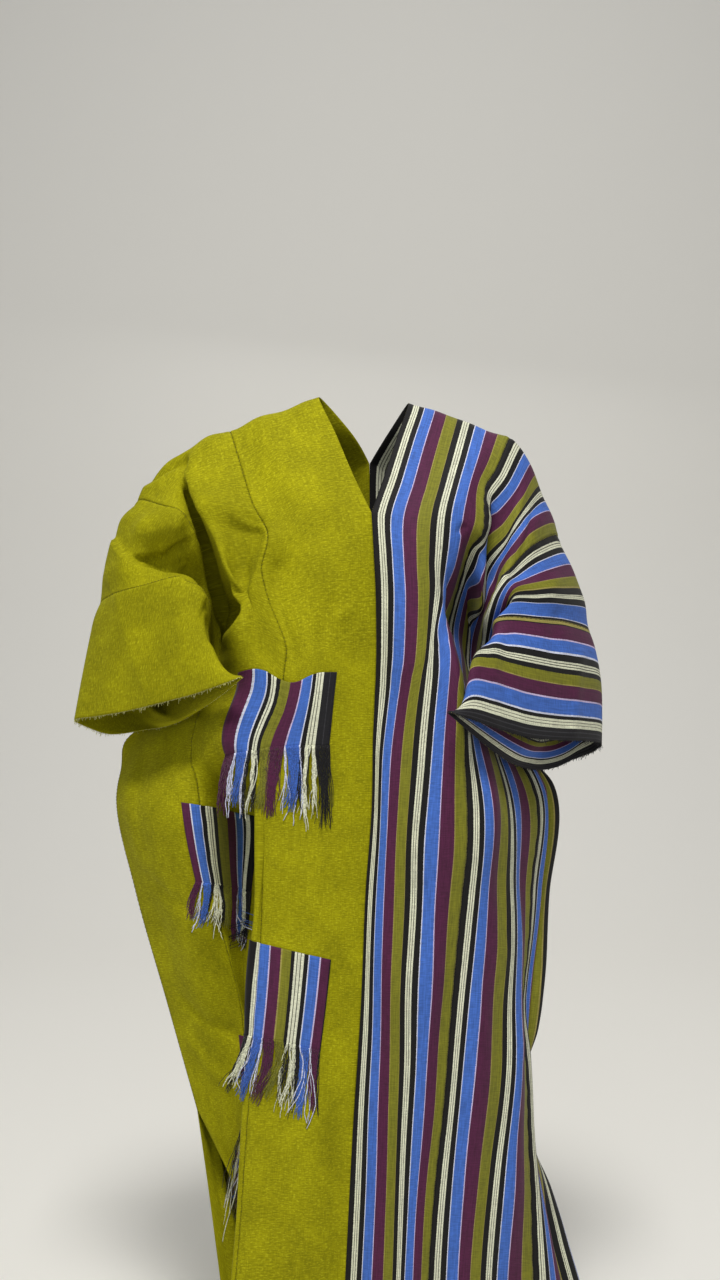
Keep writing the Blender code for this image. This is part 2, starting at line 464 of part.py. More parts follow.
def makeStrips(halfName, half, sheets, collection):
    look = "plain_olive_cotton" if halfName == "plain" else "striped_cotton"
    for strip, sheet in sheets.items():
        for length, start, end in stripLengths(strip):
            chosen = (sheet["distances"] >= start) & (sheet["distances"] <= end)
            name = f"{halfName}_{strip}_strip_{length}"
            clothWall(name, sheet["points"][:, chosen], sheet["normals"][:, chosen],
                      SEAM_GAP / 2, WALL, half["side"], look, collection)


def panelPart(sheets, lines, down):
    """The points and normals of the strips between two lines and two distances."""
    points, normals = [], []
    for strip in STRIPS:
        sheet = sheets[strip]
        facets = np.array(STRIP_FACETS[strip])
        columns = (facets >= lines[0]) & (facets <= lines[1])
        if points:
            columns &= facets > facets[0]
        rows = (sheet["distances"] >= down[0]) & (sheet["distances"] <= down[1])
        if columns.any():
            points.append(sheet["points"][columns][:, rows])
            normals.append(sheet["normals"][columns][:, rows])
    return np.concatenate(points), np.concatenate(normals)


def makePatches(half, sheets, collection):
    rest = SEAM_GAP / 2 + WALL + PATCH_LIFT
    for name, patch in PATCHES.items():
        points, normals = panelPart(sheets, patch["lines"], patch["down"])
        clothWall(name, points, normals, rest, WALL, half["side"], "patch_cotton", collection)
        reach = (patch["down"][1], patch["fringe"])
        points, normals = panelPart(sheets, patch["lines"], reach)
        clothWall(f"{name}_fringe", points, normals, rest, FRINGE_WALL, half["side"],
                  "fringe_threads", collection)


def main():
    clearScene()
    collection = bpy.data.collections.new("grand_boubou_robe")
    bpy.context.scene.collection.children.link(collection)
    robe = {name: makeSheets(half) for name, half in HALVES.items()}
    shareNormals([sheet for sheets in robe.values() for sheet in sheets.values()])
    for name, half in HALVES.items():
        makeStrips(name, half, robe[name], collection)
    makePatches(HALVES["plain"], robe["plain"], collection)


main()
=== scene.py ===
import bpy
import math
import numpy as np
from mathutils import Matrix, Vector
from mathutils.bvhtree import BVHTree


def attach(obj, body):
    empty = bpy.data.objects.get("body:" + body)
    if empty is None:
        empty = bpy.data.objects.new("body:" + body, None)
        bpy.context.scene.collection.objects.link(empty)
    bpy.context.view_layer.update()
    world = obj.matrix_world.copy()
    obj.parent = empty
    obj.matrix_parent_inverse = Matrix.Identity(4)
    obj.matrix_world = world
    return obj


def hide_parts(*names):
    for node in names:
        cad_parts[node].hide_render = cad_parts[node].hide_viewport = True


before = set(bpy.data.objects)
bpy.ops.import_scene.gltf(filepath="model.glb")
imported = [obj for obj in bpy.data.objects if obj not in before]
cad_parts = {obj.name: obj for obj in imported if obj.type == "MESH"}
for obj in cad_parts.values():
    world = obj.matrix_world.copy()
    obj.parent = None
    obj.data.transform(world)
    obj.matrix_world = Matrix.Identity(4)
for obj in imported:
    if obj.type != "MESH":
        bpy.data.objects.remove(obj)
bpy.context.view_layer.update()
print("frame loaded")

# Sections across the cloth of one half. The key is the distance in cm from the shoulder line; the
# three rows are x, y and z, one value in cm for each of the lines, counted from the centre seam,
# or a single value for them all.
plainFrontLines = (0, 1, 2, 2.4, 2.85, 3.2, 4, 5, 6)
plainFront = {
    0: ((-6.9, -13.4, -20.2, -22.8, -25.3, -27.4, -33.7, -37.4, -40),
        (3, 2, 1, 1, 1, 1.5, 2, 3, 3),
        (1, -1.6, -4.1, -5.1, -6.5, -7.9, -14.5, -20.2, -29.8)),
    5: ((-4.4, -11.7, -18.1, -21.1, -25.2, -26.5, -29.8, -33.9, -35.7),
        (-3, -4.5, -5, -5, -4.5, -2, -5, -4, -5),
        (-5.3, -7.1, -9.8, -10.9, -12.4, -11.9, -15.5, -22.5, -28.4)),
    11: ((-1.9, -9.3, -16, -19.5, -23.5, -24.6, -26.4, -30.3, -30.8),
         (-8, -9, -9, -8.5, -7.5, -2, -7, -5, -9),
         (-11.7, -13.4, -15.9, -16.1, -16.5, -16.2, -16.8, -23.7, -27.6)),
    17: ((0.7, -7.5, -13.5, -17.6, -21.8, -23.1, -24.4, -27, -26),
         (-11.5, -12, -11.5, -10.5, -9.5, -1, -5, -5, -11),
         (-17.5, -18.6, -20.9, -20.9, -20.9, -20.8, -20.4, -24.8, -27.1)),
    23: ((1, -6.5, -14.2, -17, -20.1, -21.6, -23, -24.5, -22.7),
         (-12.5, -13.5, -11.5, -11, -10.5, 0, -2, -4, -11),
         (-23.4, -24.2, -25.7, -25.4, -25.4, -25.6, -25, -26.9, -28.2)),
    28: ((1.3, -6.1, -13, -16, -18.5, -20.4, -21.9, -22.6, -22.5),
         (-12.5, -14, -13, -11.5, -11, 1, 0, -3, -7),
         (-29.2, -29.7, -30.5, -29.2, -29.5, -30, -30, -30.8, -32.6)),
    32: ((1.4, -5.9, -11.2, -14.8, -18, -20, -21.6, -22.6, -24.6),
         (-12, -14.5, -14.5, -13, -12, 0, 0.5, -0.5, -3),
         (-35.4, -35.8, -35.2, -33.7, -33.8, -35.1, -35.9, -37, -39.5)),
    38: ((1.3, -6, -11.3, -14.5, -17.9, -20, -22.3, -24, -26.5),
         (-12, -14.5, -14.8, -13.6, -11.2, -3.5, -0.5, 1, 2.5),
         (-39.4, -39.5, -40.2, -37.8, -38, -39.5, -40.5, -42, -44.5)),
    44: ((1.1, -6.2, -11.8, -14.3, -17.9, -20.3, -24, -29, -35.6),
         (-12, -14.5, -15, -14, -10, -5.5, -2, 2.5, 6.5),
         (-43.4, -43.3, -44, -42, -42.1, -43.1, -44.2, -47, -49.6)),
    51: ((0.9, -6.5, -13.7, -16.4, -19.5, -21.3, -24.9, -30, -36.7),
         (-12, -14.5, -14.5, -14, -12, -9.5, -5.5, -2, 5),
         (-49.7, -49.6, -49.6, -49.6, -49.8, -50.1, -50.4, -51.5, -54.4)),
    57: ((0.8, -6.7, -14, -15, -16.4, -18.5, -24, -30.4, -37.1),
         (-12.5, -14.5, -14.5, -13.5, -4, -2, -7.5, -6, 3),
         (-55.8, -55.6, -55.6, -55.7, -56.9, -57.2, -56.4, -56.6, -58.4)),
    72: ((-0.1, -7.3, -14.2, -15, -16, -17.9, -21.9, -27.7, -34.2),
         (-13, -15, -14.5, -14, -3, -1, -6.5, -5.5, 3),
         (-69.8, -69.4, -69.5, -69.6, -71.7, -72, -71, -71.2, -72.8)),
    88: ((-0.7, -7.8, -14.8, -16.3, -16.7, -17.3, -18.3, -23.3, -29.5),
         (-13.5, -15.5, -15, -14, -5, -2, -3, -3, 2),
         (-84.5, -84, -84.1, -84.4, -86.8, -87.6, -87.3, -87.3, -88.6)),
    104: ((-1.7, -8.7, -15.9, -16.6, -16.2, -16.2, -17, -20.9, -24.8),
          (-14, -16, -15.5, -14.5, -7, -4, -1, 0, 1),
          (-99.4, -98.7, -98.9, -99.3, -101.8, -102.9, -103.9, -104.3, -104.6)),
    122: ((-2.6, -9.9, -17.3, -17.9, -17, -16.5, -15.5, -16, -18),
          (-14, -16, -15.5, -14.5, -8, -5, -1.5, 2.5, 1.5),
          (-116.5, -115.7, -115.9, -116.3, -119.2, -120.5, -121.8, -122.2, -121.8)),
    145: ((-4.1, -11.6, -19.3, -20, -19, -18, -16.8, -17, -18.8),
          (-14, -16, -15.5, -14.5, -8, -5, -1.5, 3, 2.5), -145),
}
stripedFrontLines = (0, 1, 1.55, 2, 2.55, 3, 3.55, 4, 5, 6)
stripedFront = {
    0: ((6.3, 13.6, 17.8, 21, 24.2, 25.6, 27.4, 28.5, 31.9, 33.3),
        (3, 2, 1.5, 1, 1.5, 2, 2.5, 2.5, 3, 3),
        (0.1, -2.3, -4.2, -5.7, -9.2, -12.3, -16.1, -19.6, -27.4, -33.7)),
    5: ((4.5, 11.9, 16.3, 18.8, 21.7, 22.5, 24.1, 24.2, 27.7, 28.8),
        (-3, -4, -4, -3.5, -3, -3.5, -4, -5, -4, -4),
        (-5.7, -7.8, -8.5, -10.4, -13.4, -16.1, -17.6, -21.4, -27.7, -32.6)),
    11: ((2.5, 10.2, 14.6, 16.6, 19.2, 20.1, 21.4, 21, 23.8, 24.8),
         (-8, -8.5, -8, -7, -5, -5, -6, -7, -8, -8),
         (-12.1, -13.7, -13.3, -14.3, -16.5, -20.1, -21.3, -24.4, -28.1, -32.3)),
    17: ((0.7, 8.9, 13.5, 16.3, 16.9, 17, 18.3, 18.9, 20.6, 18.7),
         (-11.5, -11.5, -10, -9, -5, -4, -5, -9, -10, -11),
         (-17.5, -18.5, -17.7, -19.7, -19.2, -23.8, -26.5, -27.1, -28.6, -32.1)),
    23: ((1, 8.6, 12.8, 14.5, 16.3, 16.4, 16.8, 17, 19.6, 17.9),
         (-12.5, -13, -10, -6, -7, -6, -4, -8, -8, -9),
         (-23.4, -24.1, -22.3, -22.5, -26.6, -30.3, -30.2, -31.2, -31.2, -34.6)),
    28: ((1.3, 8.5, 11.7, 13, 14.6, 15, 15.8, 16.6, 18.9, 18.7),
         (-12.5, -13.5, -10, -4, -2, 0, 1, -3, -5, -6),
         (-29.2, -29.7, -27.5, -27.9, -28.2, -31.6, -35.1, -36.6, -35.1, -39.1)),
    32: ((1.4, 8.1, 10.7, 11.8, 13.4, 14.3, 15.6, 16.4, 19, 20.8),
         (-12, -14, -12, -6, -2, 0, 1, -1, -2.5, -3),
         (-35.4, -35.8, -31.6, -33, -33, -36.6, -40, -41.5, -41.5, -44.6)),
    38: ((1.3, 7.6, 11.1, 12.2, 13.6, 15, 16.5, 17.8, 20, 22),
         (-12, -14, -13.3, -10, -4, -0.5, 1, 1, 0.3, 1.2),
         (-39.4, -39.6, -34.8, -37.5, -37.7, -40.2, -43, -44.4, -45.8, -48.6)),
    44: ((1.1, 7.1, 11.5, 12.8, 14, 15.9, 17.3, 19.2, 22, 24),
         (-12, -14, -14.5, -14, -6, -1, 0.5, 1.2, 1.5, 3.3),
         (-43.4, -43.4, -37.9, -42, -42.3, -43.9, -45.4, -47, -49.2, -52.6)),
    51: ((0.9, 6.4, 10.7, 13.2, 15.6, 17.6, 19.6, 21.9, 25.1, 25.7),
         (-12, -14.3, -15.6, -14.6, -10.5, -5.5, -2.5, -0.5, 2, 5),
         (-49.7, -49.5, -47.2, -49, -49.2, -50.2, -51.2, -52, -53.4, -56.2)),
    57: ((0.8, 5.9, 10.2, 13.7, 17.1, 19.2, 21.3, 24.2, 27.2, 26.4),
         (-12.5, -14.5, -16, -14.5, -13, -9, -5.5, -2, 2, 6),
         (-55.8, -55.6, -55.4, -55.6, -55.8, -56.2, -56.6, -57, -57.5, -60)),
    72: ((-0.1, 5.2, 9.4, 13.2, 16.9, 19.6, 21.9, 23.9, 26.7, 25.6),
         (-13, -15, -16, -14.5, -12.5, -9, -5, -2, 3, 8),
         (-69.8, -69.4, -69.2, -69.5, -69.9, -70.5, -71.3, -71.8, -72.8, -73.7)),
    88: ((-0.7, 4.7, 8.7, 11.8, 15.5, 19.1, 21.7, 22.6, 24.9, 24.9),
         (-13.5, -15.5, -16.5, -15, -14, -11, -8, -3, 0, 6),
         (-84.5, -84, -83.7, -84.1, -84.4, -85.2, -86, -87.3, -88.1, -89.7)),
    104: ((-1.7, 4.4, 7.8, 10.5, 14.1, 18, 21.2, 22.7, 23.1, 23),
          (-14, -15.5, -16.5, -15.5, -15, -13, -11.5, -7, -2, 3),
          (-99.4, -98.9, -98.6, -98.9, -99.1, -99.8, -100.3, -101.8, -103.6, -105.3)),
    122: ((-2.6, 3.8, 6.5, 8.7, 12.7, 15.8, 19.7, 23.1, 27.2, 28.8),
          (-14, -16, -17, -16, -15.5, -14.5, -13, -10, -6, 0),
          (-116.5, -115.7, -115.2, -115.7, -115.9, -116.3, -117, -118.3, -120, -122.7)),
    145: ((-4.1, 2.6, 5.6, 7.9, 12, 15.2, 19.3, 23.3, 31.1, 35.7),
          (-14, -16, -17, -16, -15.5, -14.5, -13, -11, -7, -1), -145),
}
# Between the underarm and the slit the back shares its edge line with the front.
backLines = (0, 1, 2, 3, 4, 5, 6)
plainBack = {
    5: ((-2.4, -12, -20.5, -28, -33.5, -36.5, -38.5), (6, 6, 5, 5.5, 6, 6, 6.5),
        (-3.5, -5.5, -7.5, -11.5, -18, -25, -33)),
    11: ((0.6, -9.5, -19.5, -27.5, -34, -37, -37.5), (9.5, 10, 9, 9, 9, 8.5, 9),
         (-8, -11.5, -13, -17, -23, -29.5, -37)),
    17: ((0.6, -8.5, -18.5, -26.5, -33, -36.5, -35.5), (10.5, 12, 11, 11, 10.5, 9.5, 9),
         (-14, -18, -19.5, -23, -29, -35, -41.5)),
    23: ((0.6, -8, -17.8, -25.5, -31.5, -34.5, -32.5), (11, 12.8, 12, 12, 11, 9, 5.5),
         (-20, -24, -26, -29.5, -35, -40.5, -44.5)),
    28: ((0.6, -7.7, -17.3, -24.5, -30, -32, -28), (11, 13, 12.5, 12.3, 11, 8, 0.5),
         (-25, -29, -31, -34.5, -40, -44, -43.5)),
    32: ((0.6, -7.5, -17, -23.5, -28, -28.5), (11, 13, 12.5, 12, 10.5, 6),
         (-30, -34, -35.5, -39, -44.5, -46.5)),
    38: ((0.5, -7.5, -16.8, -23, -27.8, -30.5), (10.8, 12.8, 12.3, 11.8, 10.5, 8),
         (-36, -39, -40.5, -43.5, -48.3, -50)),
    44: ((0.4, -7.5, -16.5, -22.5, -27.5, -32), (10.5, 12.5, 12, 11.5, 10.5, 9),
         (-42, -44, -45.5, -48, -52, -53.5)),
    57: ((0, -8, -16.5, -23, -29.5, -34.5), (11, 13, 12.5, 12, 10.5, 8.5),
         (-56, -57, -58, -59.5, -62, -63)),
    72: ((-0.4, -8.5, -16.5, -22.5, -28, -31.5), (12, 14, 13, 12.5, 10.5, 8),
         (-71, -72, -72.5, -73.5, -75, -76)),
    88: ((-0.9, -9, -16.5, -22, -25.5, -28), (12.5, 14.5, 13.5, 12.5, 11, 8),
         (-87, -88, -88.5, -89, -90.5, -91.5)),
    104: ((-1.6, -9.5, -16.5, -20.5, -22, -23.5), (13, 15, 14, 12.5, 10.5, 7),
          (-103, -104, -104.5, -105, -106, -106.5)),
    145: ((-3.6, -11, -15.5, -17.5, -18.5, -19, -20.2), (14, 16, 15, 12, 9, 6.5, 5), -145),
}
stripedBack = {
    5: ((3.6, 12.5, 20.6, 25.5, 28.5, 31.5, 33), (6, 6, 5, 6, 6, 6, 6),
        (-3.5, -6, -9, -15, -22.5, -29, -35)),
    11: ((0.6, 10.8, 20, 26, 29.5, 32, 33), (9.5, 10, 9, 9.5, 9, 8.5, 8),
         (-8, -12, -14.5, -20.5, -27, -33, -39)),
    17: ((0.6, 9.8, 19, 25.5, 29.5, 31.5, 31), (10.5, 12, 11, 11, 10.5, 9.5, 8),
         (-14, -18, -20.5, -26, -32, -38, -43.5)),
    23: ((0.6, 9.3, 18.2, 24.5, 28.5, 29.5, 28), (11, 12.8, 12, 12, 11, 9, 6),
         (-20, -24, -26.5, -32, -37.5, -42.5, -46.7)),
    28: ((0.6, 9, 17.8, 23.5, 27, 27.6, 25), (11, 13, 12.3, 12.3, 11, 8, 1.5),
         (-25, -29, -31, -36.5, -42, -46, -47.3)),
    32: ((0.6, 9, 17.5, 22.5, 25, 25.2), (11, 13, 12.3, 12, 10.5, 6), (-30, -34, -35.5, -40.5, -46, -49)),
    38: ((0.5, 8.8, 17, 21.5, 23.8, 24.4), (10.8, 12.8, 12.2, 11.8, 10.3, 6.8),
         (-36, -39, -40.5, -44.8, -49.5, -52.5)),
    44: ((0.4, 8.6, 16.5, 20.5, 22.5, 23.5), (10.5, 12.5, 12, 11.5, 10, 7),
         (-42, -44, -45.5, -49, -53, -56)),
    57: ((0, 8, 15.5, 20, 23, 24.5), (11, 13, 12, 11.5, 10, 8.5), (-56, -57, -58, -60, -62, -64)),
    72: ((-0.4, 7.5, 14.8, 19.5, 22, 23.5), (12, 14, 12.5, 12, 11, 9.5), (-71, -72, -72.5, -74, -75, -76)),
    88: ((-0.9, 7, 14, 19, 21, 22.5), (12.5, 14.5, 13, 12.5, 11.5, 9.5),
         (-87, -88, -88.5, -90, -91, -91.5)),
    104: ((-1.6, 6, 12.5, 17.5, 20, 21), (13, 15, 13.5, 13, 11.5, 8),
          (-103, -104, -104.5, -105.5, -106, -106)),
    145: ((-3.6, 3.5, 10, 17, 23, 29, 36), (14, 16, 14.5, 12, 9.5, 6, 4), -145),
}
# Lines 7 and 8 of the cuff strips, from the underarm at the back to the underarm in front.
plainCuff = {
    -28: ((-26, -22.3), (-5.5, -10), (-45.5, -44.4)),
    -23: ((-30.3, -27.4), (0, -3), (-47, -47.2)),
    -17: ((-34.5, -32.7), (5.5, 2), (-46.5, -48.4)),
    -11: ((-38, -38.3), (8, 5), (-44.5, -49.3)),
    -5: ((-40, -41.5), (6.5, 4.5), (-41.5, -48.4)),
    0: ((-41.7, -43.1), (2.5, 1.5), (-38.4, -47)),
    5: ((-37.5, -39), (-4, -3), (-37.5, -46.2)),
    11: ((-32.6, -33.9), (-8.5, -7), (-36.4, -45.2)),
    17: ((-27.6, -28.7), (-12, -10.5), (-35.4, -43.9)),
    23: ((-23.4, -23.8), (-14, -13.5), (-34.5, -42.6)),
    28: ((-21.5, -19.6), (-13, -16), (-35.1, -41.2)),
    32: ((-21.3, -16.6), (-10, -17.5), (-40, -40.1)),
}
stripedCuff = {
    -28: ((23.5, 18.2), (-4.5, -11), (-49.3, -51)),
    -23: ((27.5, 22.9), (2, -5), (-50, -53.5)),
    -17: ((31.5, 27.4), (6, 0), (-48.5, -54)),
    -11: ((34.5, 31.1), (7, 3), (-45.5, -52.9)),
    -5: ((35, 33.8), (5, 3.5), (-43, -51.9)),
    0: ((34.6, 34.7), (2, 1), (-40.9, -50.5)),
    5: ((30.7, 31.3), (-4, -4), (-40, -49.7)),
    11: ((26.3, 26.9), (-8.5, -8), (-39.3, -49.3)),
    17: ((21.2, 22.3), (-12.5, -12), (-38.3, -48.6)),
    23: ((16.8, 17.8), (-15.5, -15.5), (-37.3, -47.2)),
    28: ((14.3, 14), (-16, -18), (-38.5, -45.8)),
    32: ((15.7, 10.7), (-12, -19.5), (-45.1, -44.7)),
}

# all distances on the cloth are in cm
robe = {
    "repeat": 8.0,        # cloth in one stripe repeat, the unit of the lines
    "neckFront": 17,      # from the shoulder line to the foot of the V in front
    "neckBack": 11,
    "underarm": 32,
    "slit": 104,
    "hem": 145,
    "edgeLine": 6,        # side seam, and the seam of the cuff strip
    "cuffLine": 8,
    "seams": (2, 4),      # lines where two strips are sewn edge to edge
    "stripLines": 2,
    "fineStep": 0.3,      # between rows of the mesh where the sleeve folds lie in front
    "fineEnd": 48,
    "frontStep": 0.6,     # below them
    "backStep": 0.75,
    "lineStep": 0.04,     # lines between columns of the mesh, 3.2 mm
    "tiny": 0.001,        # added so that a range takes in its last line
    "lift": 0.0011,       # metres from the lattice of sections to the middle of the cloth
    "thickness": 0.0009,
    "seamGap": 0.0002,
}
# how far from an edge, in lines or in cm, the cloth gives up its own shape
fading = {
    "border": 0.5,        # lines over which a corner of the border fades into the cloth
    "centre": 0.35,       # lines over which creases rise beside the centre seam
    "seam": 0.4,          # lines over which they rise beside a seam at the edge line
    "aboveUnderarm": 4,   # cm in which that seam takes hold
    "cuffEnd": 3,         # cm of calm cuff where its two ends meet under the arm
}
# the unevenness of hanging cloth: waves of many lengths, longer down the cloth than across
slackness = {"waves": 9, "lengths": (0.7, 1.6), "slant": 0.55, "share": 3}
# A strip seam lies in a shallow groove between two ridges, and its thread puckers the cloth beside
# it. Heights are in metres, widths in cm.
seamShape = {"groove": 0.0009, "grooveWidth": 0.22, "ridge": 0.0006, "ridgeAt": 0.5, "ridgeWidth": 0.25,
             "pucker": 0.0005, "puckerWidth": 0.9, "puckerTurn": 1.4, "uneven": (0.3, 1.1)}


def unit(ways):
    return ways / np.linalg.norm(ways, axis=-1, keepdims=True)


def smoothCurve(stations, values, places):
    # smooth through every station, each slope from the two neighbouring chords
    stations = np.asarray(stations, float)
    values = np.asarray(values, float)
    shape = values.shape[1:]
    values = values.reshape(len(stations), -1)
    places = np.asarray(places, float)
    steps = np.diff(stations)[:, None]
    chords = np.diff(values, axis=0) / steps
    slopes = np.empty_like(values)
    slopes[1:-1] = (steps[1:] * chords[:-1] + steps[:-1] * chords[1:]) / (steps[1:] + steps[:-1])
    slopes[0] = 1.5 * chords[0] - 0.5 * slopes[1]
    slopes[-1] = 1.5 * chords[-1] - 0.5 * slopes[-2]
    span = np.clip(np.searchsorted(stations, places, side="right") - 1, 0, len(stations) - 2)
    width = steps[span]
    t = (places - stations[span])[:, None] / width
    curve = ((2 * t**3 - 3 * t**2 + 1) * values[span] + (t**3 - 2 * t**2 + t) * width * slopes[span]
             + (3 * t**2 - 2 * t**3) * values[span + 1] + (t**3 - t**2) * width * slopes[span + 1])
    return curve.reshape((len(places),) + shape)


def corneredCurve(stations, values, places, corners):
    # smooth between the corners, where the edge may turn sharply
    stations, values, places = (np.asarray(each, float) for each in (stations, values, places))
    stops = [stations[0], *[c for c in corners if stations[0] < c < stations[-1]], stations[-1]]
    curve = np.empty((len(places), 3))
    for start, end in zip(stops[:-1], stops[1:]):
        knots = (stations >= start) & (stations <= end)
        chosen = (places >= start) & (places <= end)
        curve[chosen] = smoothCurve(stations[knots], values[knots], places[chosen])
    return curve


def sectionPoints(section):
    return np.array(np.broadcast_arrays(*section), float).T / 100


def edgeCurve(half, places):
    # side seam and cuff seam; the back shares it with the front between underarm and slit
    underarm, slit = robe["underarm"], robe["slit"]
    shared = range(underarm, slit + 1)
    knots = {down: sectionPoints(row)[-1] for down, row in half["front"].items()}
    knots.update({-down: point for down, point in knots.items() if down in shared})
    knots.update({-down: sectionPoints(row)[-1] for down, row in half["back"].items() if down not in shared})
    order = sorted(knots)
    return corneredCurve(order, [knots[down] for down in order], places, (-slit, -underarm, underarm, slit))


def bodyLattice(half, lines, places):
    rows = {}
    for down, row in half["back"].items():
        points = sectionPoints(row)
        if robe["underarm"] <= down <= robe["slit"]:
            points = np.vstack([points, sectionPoints(half["front"][down])[-1:]])
        rows[-down] = smoothCurve(backLines, points, lines)
    for down, row in half["front"].items():
        rows[down] = smoothCurve(half["frontLines"], sectionPoints(row), lines)
    order = sorted(rows)
    grid = smoothCurve(order, [rows[down] for down in order], places)
    # the two borders turn corners, which fade into the cloth
    neck = (-robe["neckBack"], robe["neckFront"])
    centre = corneredCurve(order, [rows[down][0] for down in order], places, neck)
    for column, border in ((0, centre), (-1, edgeCurve(half, places))):
        distance = np.abs(lines - lines[column])
        fade = np.clip(1 - distance / fading["border"], 0, 1)[None, :, None] ** 2
        grid += fade * (border - grid[:, column])[:, None]
    return grid


def cuffLattice(half, lines, places):
    rows = {down: sectionPoints(row) for down, row in half["cuff"].items()}
    rows[-robe["underarm"]] = rows[robe["underarm"]]
    order = sorted(rows)
    outer = smoothCurve(order, [rows[down] for down in order], places)
    columns = np.concatenate([edgeCurve(half, places)[:, None], outer], axis=1)
    return smoothCurve((6, 7, 8), columns.transpose(1, 0, 2), lines).transpose(1, 0, 2)


def outward(grid, side):
    down, across = np.gradient(grid, axis=0), np.gradient(grid, axis=1)
    return unit(np.cross(down, across) * side)


def crease(height, inner, outer, *path, fade=4, roundness=2):
    # The path runs through (line, cm down) places, over the front where the distance is positive.
    # Height is in mm, and a trough's is negative; inner and outer are the cm that the flanks take
    # towards the centre and away from it. A pair gives each end its own size. The ends fade in
    # this many cm; roundness 1 is a pressed crest, 2 is soft and 3 has steep flanks.
    return {"sizes": (height, inner, outer), "path": path, "fade": fade, "roundness": roundness}


def creaseHeight(creases, lines, places):
    total = np.zeros((len(places), len(lines)))
    across, down = lines[None, :] * robe["repeat"], places[:, None]
    for fold in creases:
        path = np.array(fold["path"], float) * (robe["repeat"], 1)
        # at three times its width a flank has run out
        reach = 3 * max(np.max(size) for size in fold["sizes"][1:])
        rows = (places > path[:, 1].min() - reach) & (places < path[:, 1].max() + reach)
        if not rows.any():
            continue
        # the nearest place on the path: how far away, on which side and how far along
        nearest = np.full((rows.sum(), len(lines)), np.inf)
        signed, along = np.zeros(nearest.shape), np.zeros(nearest.shape)
        lengths = np.linalg.norm(np.diff(path, axis=0), axis=1)
        walked = np.concatenate([[0], np.cumsum(lengths)])
        for index, (start, end) in enumerate(zip(path[:-1], path[1:])):
            way = (end - start) / lengths[index]
            t = (across - start[0]) * way[0] + (down[rows] - start[1]) * way[1]
            t = np.clip(t, 0, lengths[index])
            dx, dy = across - start[0] - t * way[0], down[rows] - start[1] - t * way[1]
            distance = np.hypot(dx, dy)
            nearer = distance < nearest
            nearest = np.where(nearer, distance, nearest)
            signed = np.where(nearer, np.sign(dx * way[1] - dy * way[0]) * distance, signed)
            along = np.where(nearer, walked[index] + t, along)
        ends = np.clip(along / fold["fade"], 0, 1) * np.clip((walked[-1] - along) / fold["fade"], 0, 1)
        ends = ends * ends * (3 - 2 * ends)
        height, inner, outer = (np.interp(along / walked[-1], (0, 1), np.broadcast_to(size, 2))
                                for size in fold["sizes"])
        flank = (np.abs(signed) / np.where(signed < 0, inner, outer)) ** fold["roundness"]
        total[rows] += height / 1000 * ends * np.exp(-flank)
    return total


def softWaves(seed, lines, places, size, height):
    # no two waves alike
    chance = np.random.default_rng(seed)
    across, down = lines[None, :] * robe["repeat"], places[:, None]
    total = np.zeros((len(places), len(lines)))
    for _ in range(slackness["waves"]):
        turn = chance.uniform(0, math.pi)
        wave = size * chance.uniform(*slackness["lengths"])
        phase = chance.uniform(0, 2 * math.pi)
        way = across * math.cos(turn) + down * math.sin(turn) * slackness["slant"]
        total += np.sin(way * 2 * math.pi / wave + phase)
    return total * height / 1000 / slackness["share"]


def seamHeight(seed, lines, places):
    chance = np.random.default_rng(seed)
    total = np.zeros((len(places), len(lines)))
    for seam in robe["seams"]:
        distance = np.abs(lines - seam)[None, :] * robe["repeat"]
        phase = np.cumsum(chance.uniform(*seamShape["uneven"], len(places)))[:, None]
        beside = distance - seamShape["ridgeAt"]
        total -= seamShape["groove"] * np.exp(-(distance / seamShape["grooveWidth"]) ** 2)
        total += seamShape["ridge"] * np.exp(-(beside / seamShape["ridgeWidth"]) ** 2)
        pucker = np.sin(phase * seamShape["puckerTurn"])
        total += seamShape["pucker"] * pucker * np.exp(-(distance / seamShape["puckerWidth"]) ** 2)
    return total


def clothPlaces():
    # rows from the back hem over the shoulder to the front hem, with a row on each corner
    underarm, slit, hem, fineEnd = (robe[name] for name in ("underarm", "slit", "hem", "fineEnd"))
    corners = [robe["neckFront"], underarm, slit, -robe["neckBack"], -underarm, -slit, 0]
    rows = np.concatenate([np.arange(0, fineEnd, robe["fineStep"]),
                           np.arange(fineEnd, hem, robe["frontStep"]),
                           -np.arange(0, hem, robe["backStep"]), [-hem, hem]])
    rows = [row for row in rows if min(abs(row - corner) for corner in corners) > robe["fineStep"] / 2]
    return np.array(sorted(set(rows) | set(corners)), float)


def linear(hexCode):
    values = [int(hexCode[i:i + 2], 16) / 255 for i in (1, 3, 5)]
    return [v / 12.92 if v <= 0.04045 else ((v + 0.055) / 1.055) ** 2.4 for v in values] + [1]


def addNode(tree, kind, values=(), out=0, **inputs):
    # Values fill the sockets after the first. An input names its socket, spaces as underscores, or
    # counts it as i0, i1, and holds a value or another node's socket; a lower-case name is a setting.
    node = tree.nodes.new("ShaderNode" + kind)
    for index, value in enumerate(values, 1):
        node.inputs[index].default_value = value
    for name, value in inputs.items():
        if name[1:].isdigit():
            socket = node.inputs[int(name[1:])]
        elif name.islower():
            setattr(node, name, value)
            continue
        else:
            socket = node.inputs[name.replace("_", " ")]
        if isinstance(value, bpy.types.NodeSocket):
            tree.links.new(value, socket)
        else:
            socket.default_value = value
    return node.outputs[out]


